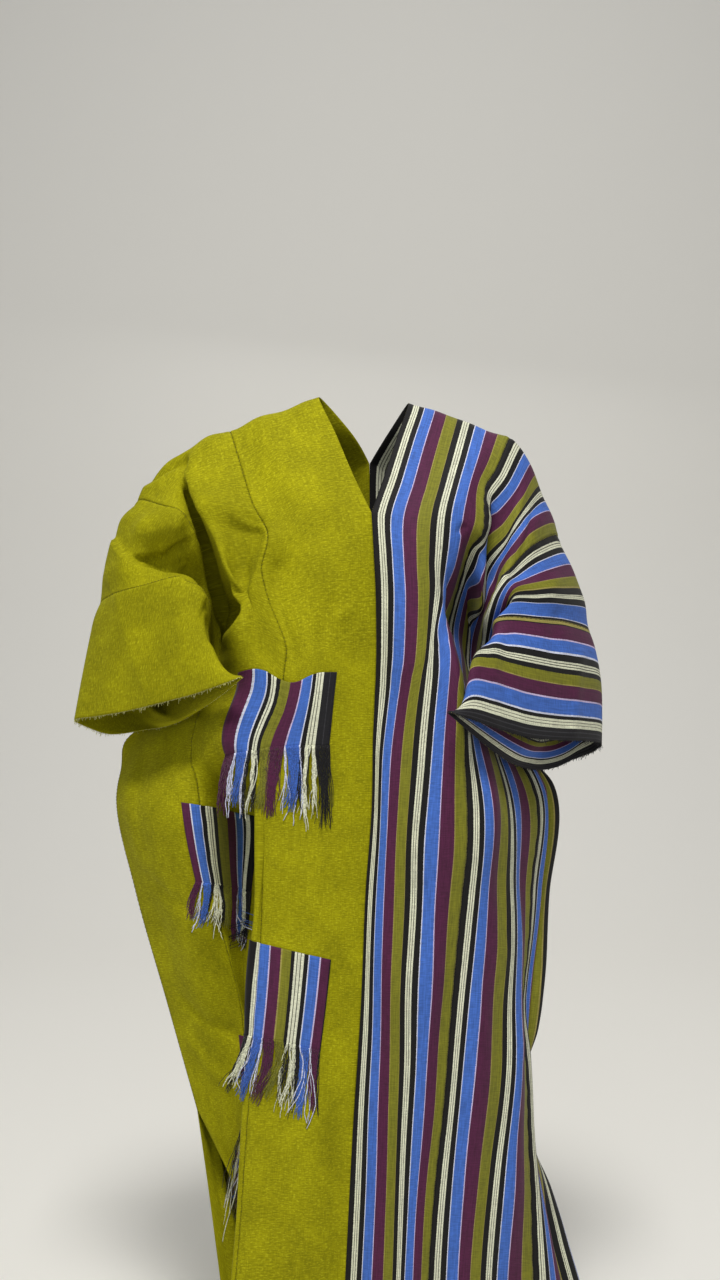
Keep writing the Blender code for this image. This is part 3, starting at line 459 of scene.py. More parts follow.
def newMaterial(name, finish):
    made = bpy.data.materials.new(name)
    made.use_nodes = True
    tree = made.node_tree
    sockets = tree.nodes["Principled BSDF"].inputs
    sockets["Roughness"].default_value = finish["roughness"]
    sockets["Sheen Weight"].default_value = finish.get("sheen", 0)
    sockets["Sheen Roughness"].default_value = 0.5
    sockets["Sheen Tint"].default_value = linear(finish.get("sheenTint", "#FFFFFF"))
    sockets["Specular IOR Level"].default_value = finish.get("specular", 0.3)
    return made, tree, sockets


def flecks(tree, uv, across, down, detail=2.0):
    # uneven spots of a given width and length, in metres of cloth
    place = addNode(tree, "Mapping", Vector=uv, Scale=(1 / across, 1 / down, 1))
    return addNode(tree, "TexNoise", noise_dimensions="2D", Vector=place, Scale=1.0, Detail=detail,
                   Roughness=0.5)


# Threads of both cottons: they pass over and under each other, and each is of uneven thickness.
# The real ones are 0.8 mm apart; they are drawn twice as far apart, because the real ones are too
# fine to show.
weaving = {"pitch": 0.0016, "depth": 0.0005, "crossing": 0.22, "warp": 0.7, "warpLength": 9, "weftLength": 8}


def weave(tree, uv, bump):
    pitch = weaving["pitch"]
    ways = []
    for side in (0, 1):
        place = addNode(tree, "SeparateXYZ", out=side, Vector=uv)
        turn = addNode(tree, "Math", operation="MULTIPLY", i0=place, i1=math.pi / pitch)
        ways.append(addNode(tree, "Math", operation="SINE", i0=turn))
    over = addNode(tree, "Math", operation="MULTIPLY", i0=ways[0], i1=ways[1])
    warp = flecks(tree, uv, pitch, pitch * weaving["warpLength"])
    weft = flecks(tree, uv, pitch * weaving["weftLength"], pitch)
    height = weft
    for part, share in ((over, weaving["crossing"]), (warp, weaving["warp"])):
        height = addNode(tree, "Math", operation="MULTIPLY_ADD", i0=part, i1=share, i2=height)
    return warp, weft, addNode(tree, "Bump", Strength=bump, Distance=weaving["depth"], Height=height)


# Cotton woven by hand in narrow strips and dyed olive in the piece: matt, with a dull glow where it
# turns to the light, uneven dye and pale slubs where the weft yarn was spun thick. A range holds
# the noise that it starts and ends at, and what it gives there.
plainLook = {"base": "#A19C0A", "pale": "#C8C422", "deep": "#858104", "roughness": 0.85, "sheen": 0.05,
             "sheenTint": "#DEDC30", "specular": 0.12, "bump": 0.35, "warpShare": 0.6,
             "threadRange": (0.55, 1.05, 0, 1), "slubWidth": 0.005, "slubHeight": 0.0016,
             "slubRange": (0.56, 0.74, 0, 0.5), "dyeWidth": 0.05, "dyeHeight": 0.065,
             "dyeRange": (0.3, 0.7, 0.87, 1.12)}


def plainCotton():
    made, tree, sockets = newMaterial("hand_woven_olive_cotton", plainLook)
    uv = addNode(tree, "TexCoord", out="UV")
    warp, weft, normal = weave(tree, uv, plainLook["bump"])
    threads = addNode(tree, "Math", operation="MULTIPLY_ADD", i0=warp, i1=plainLook["warpShare"], i2=weft)
    slubs = flecks(tree, uv, plainLook["slubWidth"], plainLook["slubHeight"], 1.0)
    colour = linear(plainLook["deep"])
    for noise, part, yarn in ((threads, "threadRange", "base"), (slubs, "slubRange", "pale")):
        share = addNode(tree, "MapRange", plainLook[part], i0=noise)
        dyed = linear(plainLook[yarn])
        colour = addNode(tree, "Mix", out=2, data_type="RGBA", i0=share, i6=colour, i7=dyed)
    dye = flecks(tree, uv, plainLook["dyeWidth"], plainLook["dyeHeight"], 3.0)
    dye = addNode(tree, "MapRange", plainLook["dyeRange"], i0=dye)
    tree.links.new(addNode(tree, "HueSaturation", Value=dye, Color=colour), sockets["Base Color"])
    tree.links.new(normal, sockets["Normal"])
    return made


# Cotton in the same weave, its warp dyed before weaving: crisp stripes along the strip, whose edges
# are nibbled by the weft, and streaks where a warp thread took more dye. The cream stripe is
# three thick cords with dark threads between them.
yarns = {"black": "#0E0C0C", "cream": "#D9DAC0", "gap": "#3F4032", "pale": "#CFD2E4", "blue": "#4069BC",
         "pink": "#C4B4D4", "plum": "#501B3D", "olive": "#79781C", "dryOlive": "#988D48",
         "charcoal": "#1A191C", "rib": "#333236"}
stripedLook = {"roughness": 0.76, "sheen": 0.05, "bump": 0.3, "nibble": 0.0007, "streakWidth": 0.0021,
               "streakLength": 0.03, "streakRange": (0.6, 1.4, 0.72, 1.3)}
# where each stripe starts, as a share of the 8 cm repeat, from the centre seam outwards
robeStripes = {0: "black", 0.106: "cream", 0.138: "gap", 0.15: "cream", 0.182: "gap", 0.194: "cream",
               0.226: "black", 0.326: "pale", 0.342: "blue", 0.532: "pink", 0.547: "plum",
               0.776: "dryOlive", 0.79: "olive", 0.99: "dryOlive"}
# across the whole outer strip, whose second olive stripe is taken up by the sleeve's seam
outerStripes = {start / 2: yarn for start, yarn in robeStripes.items() if start < 0.99}
outerStripes.update({0.492: "dryOlive", 0.508: "black", 0.59: "cream", 0.605: "gap", 0.611: "cream",
                     0.626: "gap", 0.632: "cream", 0.647: "black", 0.724: "pale", 0.733: "blue",
                     0.938: "pale", 0.95: "black", 0.988: "dryOlive"})
# across the whole cuff strip, which is turned round and ends in a wide black band
cuffStripes = {0: "dryOlive", 0.035: "black", 0.045: "plum", 0.195: "pink", 0.21: "blue", 0.332: "pale",
               0.348: "black", 0.415: "cream", 0.432: "gap", 0.438: "cream", 0.456: "gap", 0.462: "cream",
               0.48: "black", 0.522: "olive", 0.604: "dryOlive", 0.612: "plum", 0.708: "pink", 0.722: "blue",
               0.822: "pale", 0.834: "black", 0.858: "cream", 0.873: "gap", 0.878: "cream", 0.893: "gap",
               0.898: "cream", 0.916: "charcoal", 0.94: "rib", 0.946: "charcoal", 0.97: "rib",
               0.976: "charcoal"}


def stripedCotton(name, stripes, width):
    made, tree, sockets = newMaterial(name, stripedLook)
    uv = addNode(tree, "TexCoord", out="UV")
    warp, weft, normal = weave(tree, uv, stripedLook["bump"])
    bite = stripedLook["nibble"] / 2
    nibble = addNode(tree, "MapRange", (0, 1, -bite, bite), i0=weft)
    across = addNode(tree, "SeparateXYZ", Vector=uv)
    share = addNode(tree, "Math", operation="ADD", i0=across, i1=nibble)
    share = addNode(tree, "Math", operation="DIVIDE", i0=share, i1=width)
    share = addNode(tree, "Math", operation="FRACT", i0=share)
    colour = addNode(tree, "ValToRGB", Fac=share)
    ramp = colour.node.color_ramp
    ramp.interpolation = "CONSTANT"
    for start, yarn in stripes.items():
        stop = ramp.elements.new(start) if start else ramp.elements[0]
        stop.color = linear(yarns[yarn])
    ramp.elements.remove(ramp.elements[-1])
    streaks = flecks(tree, uv, stripedLook["streakWidth"], stripedLook["streakLength"])
    light = addNode(tree, "Math", operation="ADD", i0=streaks, i1=weft)
    light = addNode(tree, "MapRange", stripedLook["streakRange"], i0=light)
    tree.links.new(addNode(tree, "HueSaturation", Value=light, Color=colour), sockets["Base Color"])
    tree.links.new(normal, sockets["Normal"])
    return made


# spun cotton yarn outside the weave: matt, lighter where its plies turn up
threadLook = {"roughness": 0.88, "sheen": 0.1, "plyScale": 500, "plyRange": (0.35, 0.65, 0.75, 1.3)}


def cottonThread(name, colour):
    made, tree, sockets = newMaterial(name, threadLook)
    place = addNode(tree, "TexCoord", out="Object")
    plies = addNode(tree, "TexNoise", Vector=place, Scale=threadLook["plyScale"], Detail=1.0)
    light = addNode(tree, "MapRange", threadLook["plyRange"], i0=plies)
    tinted = addNode(tree, "HueSaturation", Value=light, Color=linear(colour))
    tree.links.new(tinted, sockets["Base Color"])
    return made


def addPiece(name, mesh):
    piece = bpy.data.objects.new(name, mesh)
    bpy.context.scene.collection.objects.link(piece)
    return piece


def insetEdges(grid, gap):
    moved = grid.copy()
    for border, inner in ((0, 1), (-1, -2)):
        moved[border] += gap * unit(grid[inner] - grid[border])
        moved[:, border] += gap * unit(grid[:, inner] - grid[:, border])
    return moved


def clothMesh(name, grid, uv, side, thickness, look):
    rows, columns = grid.shape[:2]
    mesh = bpy.data.meshes.new(name)
    index = np.arange(rows * columns).reshape(rows, columns)
    quads = np.stack([index[:-1, :-1], index[1:, :-1], index[1:, 1:], index[:-1, 1:]], axis=-1).reshape(-1, 4)
    if side < 0:
        quads = quads[:, ::-1]
    mesh.from_pydata(grid.reshape(-1, 3).tolist(), [], quads.tolist())
    layer = mesh.uv_layers.new(name="cloth")
    corners = np.empty(len(mesh.loops), int)
    mesh.loops.foreach_get("vertex_index", corners)
    layer.data.foreach_set("uv", uv.reshape(-1, 2)[corners].ravel())
    mesh.materials.append(look)
    piece = addPiece(name, mesh)
    bpy.ops.object.select_all(action="DESELECT")
    piece.select_set(True)
    bpy.context.view_layer.objects.active = piece
    bpy.ops.object.shade_smooth()
    wall = piece.modifiers.new("wall", "SOLIDIFY")
    wall.thickness = thickness
    wall.offset = 0
    bpy.ops.object.modifier_apply(modifier="wall")
    return piece


def clothUv(lines, places, start):
    # metres of cloth, across and down
    across = np.broadcast_to((lines - start)[None, :] * robe["repeat"] / 100, (len(places), len(lines)))
    down = np.broadcast_to(places[:, None] / 100, across.shape)
    return np.stack([across, down], axis=-1)


def threadMesh(name, threads, looks):
    # many threads in one mesh; each is its path, its radius along it and the number of its look
    sides = 4
    turns = (np.arange(sides) * 2 * math.pi / sides)[None, :, None]
    side = np.arange(sides)[None, :]
    after = (side + 1) % sides
    points, faces, picks, total = [], [], [], 0
    for path, radius, pick in threads:
        ways = unit(np.gradient(path, axis=0))
        first = unit(np.cross(ways, (0.31, 0.93, 0.17)))    # any direction that no thread follows
        second = np.cross(ways, first)
        spokes = first[:, None] * np.cos(turns) + second[:, None] * np.sin(turns)
        rings = path[:, None] + np.broadcast_to(radius, len(path))[:, None, None] * spokes
        ring = total + np.arange(len(path) - 1)[:, None] * sides
        quads = np.stack([ring + side, ring + after, ring + sides + after, ring + sides + side], axis=-1)
        caps = total + np.array([[3, 2, 1, 0], [0, 1, 2, 3]]) + np.array([[0], [(len(path) - 1) * sides]])
        points.append(rings.reshape(-1, 3))
        faces.append(np.concatenate([quads.reshape(-1, 4), caps]))
        picks += [pick] * len(faces[-1])
        total += len(path) * sides
    mesh = bpy.data.meshes.new(name)
    mesh.from_pydata(np.concatenate(points).tolist(), [], np.concatenate(faces).tolist())
    for look in looks:
        mesh.materials.append(look)
    mesh.polygons.foreach_set("material_index", picks)
    mesh.polygons.foreach_set("use_smooth", np.ones(len(picks), bool))
    mesh.update()
    return addPiece(name, mesh)


def declare(piece, cad=()):
    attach(piece, "root")
    if cad:
        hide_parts(*cad)


plainCreases = [
    # chest edge above the armhole, and the deep hollow beside it
    crease(5, 2, 0.45, (3.1, 1.5), (2.84, 5.5), (2.82, 11), (2.8, 17), (2.82, 23), (2.84, 27), (2.8, 29.6),
           fade=2, roundness=1.6),
    crease(-30, (1, 2.2), (1.6, 5.2), (3, 4.5), (3.15, 9), (3.3, 14), (3.45, 19), (3.55, 24), (3.6, 31),
           roundness=3),
    # dip in the shoulder above the sleeve's puff, and the swell that it cuts off
    crease(-12, 0.9, 1.1, (3, 4.4), (3.15, 2.4), (3.4, 1), (3.6, 0.2), (3.8, -0.9), fade=1.5),
    crease(11, 1.9, 1.5, (3, -5), (3.4, -2), (3.7, -0.6), (4.1, -1.2), fade=3),
    # fold that starts at a dimple on the seam and dives into the armhole
    crease((-16, -26), (1.5, 1.3), (3.4, 1.8), (2.1, 13.5), (2.3, 18.5), (2.4, 22.7), (2.58, 26.4),
           (2.84, 29.2), (3.2, 31.2), fade=2.5),
    crease(8, 2.6, 2.2, (2.85, 8.5), (2.5, 11.2), (2.1, 12.6), fade=3),
    crease(9, 3, (0.5, 0.9), (1.93, 13.8), (2.05, 18.5), (2.08, 22.7), (2.32, 26.4), (2.62, 29), (3, 31.2),
           (3.3, 34), (3.4, 40), roundness=1.5),
    crease(-6, 0.9, 0.7, (2.35, 12.4), (2.1, 14), (1.78, 14.6), fade=2),
    # soft valleys on the chest
    crease(-8, 2, 0.7, (1.55, 20), (1.75, 22.5), (1.86, 26), (1.92, 31), (1.95, 37)),
    crease(-4.5, 0.9, 1.6, (0.72, 27.2), (0.9, 29.2), (1.15, 33), fade=2),
    crease(3, 0.6, 0.6, (0.3, 28.6), (0.62, 29.4), (0.9, 29.3), fade=2),
    crease(5, 3.2, 3, (0.2, 9), (0.9, 12), (1.5, 12.5), fade=5),
    crease(-4, 2.2, 2.4, (0.4, 20), (1, 19), (1.5, 18.4)),
    # puff at the top of the sleeve, the creases that pinch its underside, and the hollow below
    crease(9, 2.3, 1.7, (4.55, 2.6), (4.5, 8), (4.3, 12), (4.08, 14.4), fade=3),
    crease(-14, 0.45, 1.4, (5.12, 5.2), (5, 9.3), (4.84, 12.5), (4.5, 15.2), (4.15, 16.8), fade=2.5,
           roundness=1.5),
    crease(-20, 2.8, 1.3, (5.26, 8), (5.26, 11.5), (5.15, 15), (4.95, 19), (4.7, 24), (4.5, 28)),
    crease(5, 0.5, 0.6, (4.75, 14.6), (4.85, 17.5), (4.7, 20.5), fade=2),
    # lip of the cuff strip, pressed into an edge
    crease(10, 0.4, 2.8, (5, 0.2), (5.1, 3.4), (5.2, 6.7), (5.48, 11.3), (5.7, 13.9), (5.88, 16),
           (6.05, 18.5), (6.15, 21.4), (6.22, 24.6), fade=2, roundness=1.3),
    crease(-5, 1.1, 1.6, (6.35, 26.6), (6.75, 27.6), (7.2, 28.6), fade=1.5),
    # pressed creases down the cuff
    crease(4, 2.4, 1.6, (5.42, 2), (5.9, 3.8), (6.3, 6.7), (6.95, 10.1), (7.55, 13.4), (8.2, 16.4), fade=1.5,
           roundness=1),
    crease(-2.4, 1.6, 1.5, (6.5, 11), (7.1, 15), (8.2, 21), fade=2),
    crease(2.2, 1.4, 1.2, (6.1, 17), (6.8, 19.5), (7.6, 22.4), fade=2),
    # side panel below the sleeve
    crease(7, 1, 2.6, (4.6, 57.5), (4.2, 55), (3.6, 52.5), (3.1, 50.5), fade=3),
    crease(-5, 2.2, 1.5, (5.3, 49), (5.45, 58), (5.3, 70), fade=6),
    crease(4.5, 1.6, 1.2, (3.4, 72), (4.3, 76), (5.2, 84), fade=5),
    crease(-4, 0.9, 1.6, (5.7, 68), (5.1, 73), (4.5, 75)),
    crease(-5, 1.4, 0.8, (5.9, 86), (5, 92), (3.9, 94), fade=5),
    crease(4.5, 1, 1.4, (5.85, 92), (5.2, 98), (4.2, 101)),
    crease(7, 1.5, 1.3, (4.4, 99), (4.5, 120), (4.4, 149), fade=8),
    crease(-8, 1.2, 1.4, (5, 108), (5.1, 125), (5, 149), fade=8),
    # edge of the centre panel's fold, down to the hem
    crease(3, 1.6, 0.5, (2.4, 55), (2.3, 72), (2.42, 88), (2.28, 104), (2.18, 122), (2.15, 149), fade=5),
    crease(2.5, 3, 2.4, (1.1, 96), (1, 118), (1.15, 149), fade=10),
    # back: flutes that hang from the shoulder blades, and slack over the shoulder
    crease(9, 2.4, 1.9, (0.9, -26), (0.8, -70), (0.95, -110), (1, -149)),
    crease(-8, 1.9, 1.6, (1.6, -40), (1.5, -90), (1.7, -149)),
    crease(11, 2, 2.4, (2.45, -19), (2.3, -60), (2.5, -100), (2.4, -149)),
    crease(-10, 1.6, 1.8, (3, -33), (3.1, -80), (2.95, -120), (3.05, -149)),
    crease(12, 1.9, 1.6, (3.55, -17), (3.7, -55), (3.55, -90), (3.65, -149)),
    crease(-12, 1.5, 1.7, (4.3, -30), (4.2, -75), (4.35, -110), (4.25, -149)),
    crease(14, 1.6, 1.4, (4.85, -24), (4.95, -65), (4.8, -105), (4.9, -149)),
    crease(-13, 1.3, 1.3, (5.4, -40), (5.3, -85), (5.45, -120), (5.4, -149)),
    crease(-5, 2, 2.6, (1.1, -11), (2.2, -17), (3.6, -24), (4.9, -29), fade=6),
    crease(5, 1.8, 2.4, (3.2, -3), (4.2, -8), (5.2, -11), fade=5),
    crease(-6, 1.8, 1.5, (5.1, -17), (5.8, -22), (7, -25)),
    crease(4, 1.6, 1.8, (5.2, -6), (6.2, -10), (7.4, -13)),
]
stripedCreases = [
    # narrow pleat beside the centre seam
    crease(-3.5, 0.4, 0.5, (0.16, 21), (0.17, 30), (0.19, 38), (0.24, 48), fade=5),
    # chest edge beside the sleeve, and the valley that it drops into
    crease(4, 1.7, 0.5, (1.05, 23), (1.18, 27), (1.35, 30), (1.6, 34), (1.74, 38.5), (1.95, 42), (2.05, 46)),
    crease(-6, 0.5, 1.2, (1.4, 25), (1.6, 30), (1.85, 34), (2, 38.5), (2.2, 42)),
    # second fold, under which the sleeve dives
    crease(4.5, 1.5, 0.5, (1.92, 8), (2, 11.5), (2.25, 16), (2.42, 19.5), (2.9, 22.5), fade=3),
    crease(-6, 0.6, 1.3, (2.2, 9), (2.5, 14), (2.75, 18.5), (3.1, 22), fade=3),
    crease(-4, 0.6, 0.6, (1.66, 18.2), (1.54, 19.8), (1.48, 21), fade=1),
    # crest of the sleeve above the cuff
    crease(6, 0.8, 1.8, (4, 13), (4.12, 17), (4.22, 22), (4.1, 26.5), fade=3),
    crease(-6, 1.3, 0.7, (3.6, 14.5), (3.75, 19), (3.7, 24.5), fade=3),
    crease(4, 1.2, 1.5, (2.6, 2), (2.88, 5.4), (3.2, 9.5), (3.5, 13), fade=3),
    crease(-4, 1.2, 1.4, (3.2, 1.5), (3.6, 6), (4.1, 10), fade=3),
    crease(3, 1.5, 1.8, (4.6, 2), (5, 7), (5.6, 12)),
    crease(-2.5, 1.3, 1.6, (5.3, 4), (6.2, 9), (7, 12)),
    crease(2.2, 1.3, 1.1, (6.4, 3), (7.2, 6), (8.2, 8), fade=2),
    crease(-2.6, 1.4, 1.2, (6.2, 17), (7.1, 20), (8.2, 22), fade=3),
    # hanging front
    crease(3, 1.6, 0.8, (3.6, 50), (3.36, 67), (3.56, 80.5), (3.66, 99), fade=5),
    crease(-3, 1.3, 1.1, (2.9, 52), (2.8, 66), (3, 82), fade=5),
    crease(3.5, 2, 2.4, (1.15, 70), (1.25, 95), (1.1, 120), (1.2, 149), fade=10),
    crease(-3, 1.6, 1.9, (2, 64), (1.85, 90), (2.05, 118), (2, 149), fade=8),
    crease(4.5, 1.8, 1.5, (2.6, 84), (2.75, 112), (2.6, 149), fade=8),
    crease(6, 1.4, 1.6, (4.3, 88), (4.2, 115), (4.35, 149), fade=8),
    crease(-8, 1.2, 1.1, (4.75, 56), (4.8, 80), (4.7, 104), fade=6),
    crease(8, 1.1, 1.1, (5.15, 50), (5.2, 76), (5.1, 98), fade=6),
    crease(-8, 1, 0.9, (5.52, 46), (5.55, 70), (5.5, 96), fade=6),
    crease(-8, 1.5, 1.5, (4.9, 112), (5, 130), (4.9, 149), fade=8),
    crease(7, 1.4, 1.3, (5.45, 108), (5.5, 128), (5.45, 149), fade=8),
    # back
    crease(8, 2, 2.3, (0.7, -30), (0.8, -75), (0.7, -112), (0.8, -149)),
    crease(-8, 1.7, 1.8, (1.4, -44), (1.5, -85), (1.35, -149)),
    crease(11, 2.1, 1.8, (2.05, -22), (2.15, -66), (2, -108), (2.1, -149)),
    crease(-10, 1.7, 1.9, (2.75, -36), (2.7, -88), (2.9, -149)),
    crease(12, 1.7, 1.9, (3.45, -18), (3.4, -58), (3.55, -98), (3.45, -149)),
    crease(-13, 1.4, 1, (3.95, -34), (4.02, -72), (3.9, -112), (4, -149)),
    crease(14, 1, 1.1, (4.3, -30), (4.34, -64), (4.3, -104), (4.4, -149)),
    crease(-12, 1, 1, (4.62, -36), (4.68, -70), (4.7, -118), (4.75, -149)),
    crease(14, 1, 1, (4.98, -39), (5.02, -80), (5.05, -112), (5.1, -149)),
    crease(-12, 0.9, 1, (5.3, -41), (5.36, -76), (5.4, -120), (5.45, -149)),
    crease(10, 0.8, 0.8, (5.62, -46), (5.66, -84), (5.7, -149)),
    crease(7, 1.6, 1.6, (4.65, -14), (4.7, -26), (4.6, -34)),
    crease(-5, 2.2, 2.4, (1.3, -12), (2.4, -19), (3.5, -27), (4.6, -33), fade=6),
    crease(5, 2, 2.1, (2.7, -4), (3.7, -9), (4.9, -13), fade=5),
    crease(-6, 1.6, 1.7, (4.9, -19), (5.9, -23), (7.1, -25)),
    crease(4, 1.5, 1.9, (5.4, -5), (6.3, -9), (7.5, -12)),
]
# seed, length in cm and height in mm of the waves of each half's slack cloth
plainHalf = {"side": -1, "frontLines": plainFrontLines, "front": plainFront, "back": plainBack,
             "cuff": plainCuff, "creases": plainCreases, "seed": 11, "waves": 10.0, "waveHeight": 2.8}
stripedHalf = {"side": 1, "frontLines": stripedFrontLines, "front": stripedFront, "back": stripedBack,
               "cuff": stripedCuff, "creases": stripedCreases, "seed": 23, "waves": 9.0, "waveHeight": 2.1}
# the strips of a half: the line that each starts at and its flat length in metres
strips = {"centre": (0, 2.9), "side": (2, 2.9), "outer": (4, 2.9), "cuff": (6, 0.64)}
repeatWidth = 0.08
wholeStrip = 0.1601    # a hair more than the strip, so that its first stripe isn't begun again


def makeHalf(half):
    # the cloth of one half, raised into its creases
    side, underarm = half["side"], robe["underarm"]
    places = clothPlaces()
    lines = np.arange(0, robe["edgeLine"] + robe["tiny"], robe["lineStep"])
    grid = bodyLattice(half, lines, places)
    height = creaseHeight(half["creases"], lines, places)
    height += softWaves(half["seed"], lines, places, half["waves"], half["waveHeight"])
    height *= np.clip(lines / fading["centre"], 0, 1)[None, :] ** 0.5
    sewn = (np.abs(places) - underarm + fading["aboveUnderarm"]) / fading["aboveUnderarm"]
    rising = np.clip((robe["edgeLine"] - lines) / fading["seam"], 0, 1)
    height *= 1 - np.clip(sewn, 0, 1)[:, None] * (1 - rising)[None, :]
    height += robe["lift"] + seamHeight(half["seed"] + 1, lines, places)
    grid = grid + outward(grid, side) * height[..., None]
    chosen = np.abs(places) <= underarm
    sleeve = places[chosen]
    cuffLines = np.arange(robe["edgeLine"], robe["cuffLine"] + robe["tiny"], robe["lineStep"])
    cuff = cuffLattice(half, cuffLines, sleeve)
    height = creaseHeight(half["creases"], cuffLines, sleeve)
    height *= np.clip((underarm - np.abs(sleeve)) / fading["cuffEnd"], 0, 1)[:, None]
    cuff = cuff + outward(cuff, side) * (robe["lift"] + height)[..., None]
    fade = np.clip(1 - (cuffLines - robe["edgeLine"]) / fading["seam"], 0, 1)[None, :, None] ** 2
    cuff += fade * (grid[chosen][:, -1] - cuff[:, 0])[:, None]
    return {"side": side, "body": (lines, places, grid, outward(grid, side)),
            "cuff": (cuffLines, sleeve, cuff, outward(cuff, side))}


def makePanels(name, cloth, looks):
    made = []
    for (strip, (start, length)), look in zip(strips.items(), looks):
        lines, places, grid, _ = cloth["cuff" if strip == "cuff" else "body"]
        chosen = np.abs(lines - start - robe["stripLines"] / 2) <= robe["stripLines"] / 2 + robe["tiny"]
        uv = clothUv(lines[chosen], places, start)
        panel = insetEdges(grid[:, chosen], robe["seamGap"])
        piece = clothMesh(f"{name}_{strip}_panel", panel, uv, cloth["side"], robe["thickness"], look)
        nodes = [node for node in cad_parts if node.startswith(f"{name}_{strip}_strip")]
        declare(piece, nodes)
        made.append(piece)
    return made


def onCloth(cloth, lines, places, lift, part="body"):
    # points at any line and distance, raised above the cloth's middle
    allLines, allPlaces, grid, normals = cloth[part]
    column = np.interp(lines, allLines, np.arange(len(allLines)))
    row = np.interp(places, allPlaces, np.arange(len(allPlaces)))
    c = np.minimum(column.astype(int), len(allLines) - 2)
    r = np.minimum(row.astype(int), len(allPlaces) - 2)
    a, b = (column - c)[..., None], (row - r)[..., None]
    points, ways = ((1 - a) * (1 - b) * field[r, c] + a * (1 - b) * field[r, c + 1]
                    + (1 - a) * b * field[r + 1, c] + a * b * field[r + 1, c + 1]
                    for field in (grid, normals))
    return points + unit(ways) * np.asarray(lift)[..., None]


plainCottonLook = plainCotton()
stripedCottonLook = stripedCotton("striped_hand_woven_cotton", robeStripes, repeatWidth)
outerCottonLook = stripedCotton("striped_outer_cotton", outerStripes, wholeStrip)
cuffCottonLook = stripedCotton("striped_cuff_cotton", cuffStripes, wholeStrip)
stripedLooks = [stripedCottonLook, stripedCottonLook, outerCottonLook, cuffCottonLook]
plainCloth = makeHalf(plainHalf)
stripedCloth = makeHalf(stripedHalf)
plainPieces = makePanels("plain", plainCloth, [plainCottonLook] * 4)
makePanels("striped", stripedCloth, stripedLooks)
print("panels made")

# Patches are cut from the striped cloth and laid on the plain front. Their top and foot edges run
# through (line, cm down) places; reach is how far the threads hang and lean how far they drift
# sideways, in metres at both ends of the fringe; a stripe starts at a share of the patch's width.
patches = {
    "patch_1": {
        "top": ((2.8, 40.6), (2.4, 40.2), (2, 38.6), (1.4, 37.9), (0.72, 38.2)),
        "foot": ((2.86, 52), (2.32, 51.8), (1.82, 51.2), (1.34, 51), (0.82, 51)),
        "reach": (0.078, 0.108), "lean": (-0.012, 0),
        "stripes": {0: "plum", 0.115: "pale", 0.135: "blue", 0.235: "pale", 0.25: "black", 0.282: "cream",
                    0.3: "gap", 0.307: "cream", 0.33: "black", 0.366: "olive", 0.462: "plum", 0.596: "pink",
                    0.61: "blue", 0.732: "pale", 0.745: "black", 0.788: "cream", 0.808: "gap",
                    0.815: "cream", 0.838: "gap", 0.845: "cream", 0.874: "charcoal", 0.93: "rib",
                    0.94: "charcoal"},
    },
    "patch_2": {
        "top": ((4.33, 58.8), (3.7, 59.5), (2.96, 60.8)),
        "foot": ((4.34, 70.5), (3.78, 71), (2.94, 72)),
        "reach": (0.06, 0.082), "lean": (-0.012, -0.006),
        "stripes": {0: "plum", 0.1: "pale", 0.115: "blue", 0.22: "pale", 0.234: "black", 0.285: "cream",
                    0.305: "gap", 0.315: "cream", 0.335: "gap", 0.345: "cream", 0.37: "black",
                    0.415: "olive", 0.545: "plum", 0.655: "pale", 0.67: "blue", 0.765: "pale",
                    0.775: "black", 0.815: "cream", 0.88: "black"},
    },
    "patch_3": {
        "top": ((2.36, 79.1), (1.72, 80), (1.18, 81), (0.62, 82)),
        "foot": ((2.36, 93.1), (1.6, 93.8), (1.1, 94.8), (0.74, 95.5)),
        "reach": (0.075, 0.1), "lean": (-0.026, -0.004),
        "stripes": {0: "black", 0.1: "cream", 0.132: "gap", 0.14: "cream", 0.176: "black", 0.19: "pale",
                    0.2: "blue", 0.345: "pink", 0.36: "plum", 0.48: "dryOlive", 0.493: "olive",
                    0.583: "black", 0.62: "cream", 0.644: "gap", 0.652: "cream", 0.676: "gap",
                    0.684: "cream", 0.712: "black", 0.755: "pale", 0.768: "blue", 0.872: "pink",
                    0.888: "plum", 0.985: "black"},
    },
    "patch_4": {
        "top": ((4.2, 93), (2.75, 93)),
        "foot": ((4.2, 104), (2.75, 104)),
        "reach": (0.12, 0.16), "lean": (-0.01, -0.026),
        "stripes": {0: "plum", 0.16: "blue", 0.36: "black", 0.42: "cream", 0.46: "gap", 0.48: "cream",
                    0.56: "black", 0.66: "olive", 0.8: "plum", 0.86: "pale", 0.88: "black", 0.94: "cream",
                    0.97: "black"},
    },
}
patchShape = {"lift": 0.0019, "columns": 41, "rows": 43, "thickness": 0.0009}
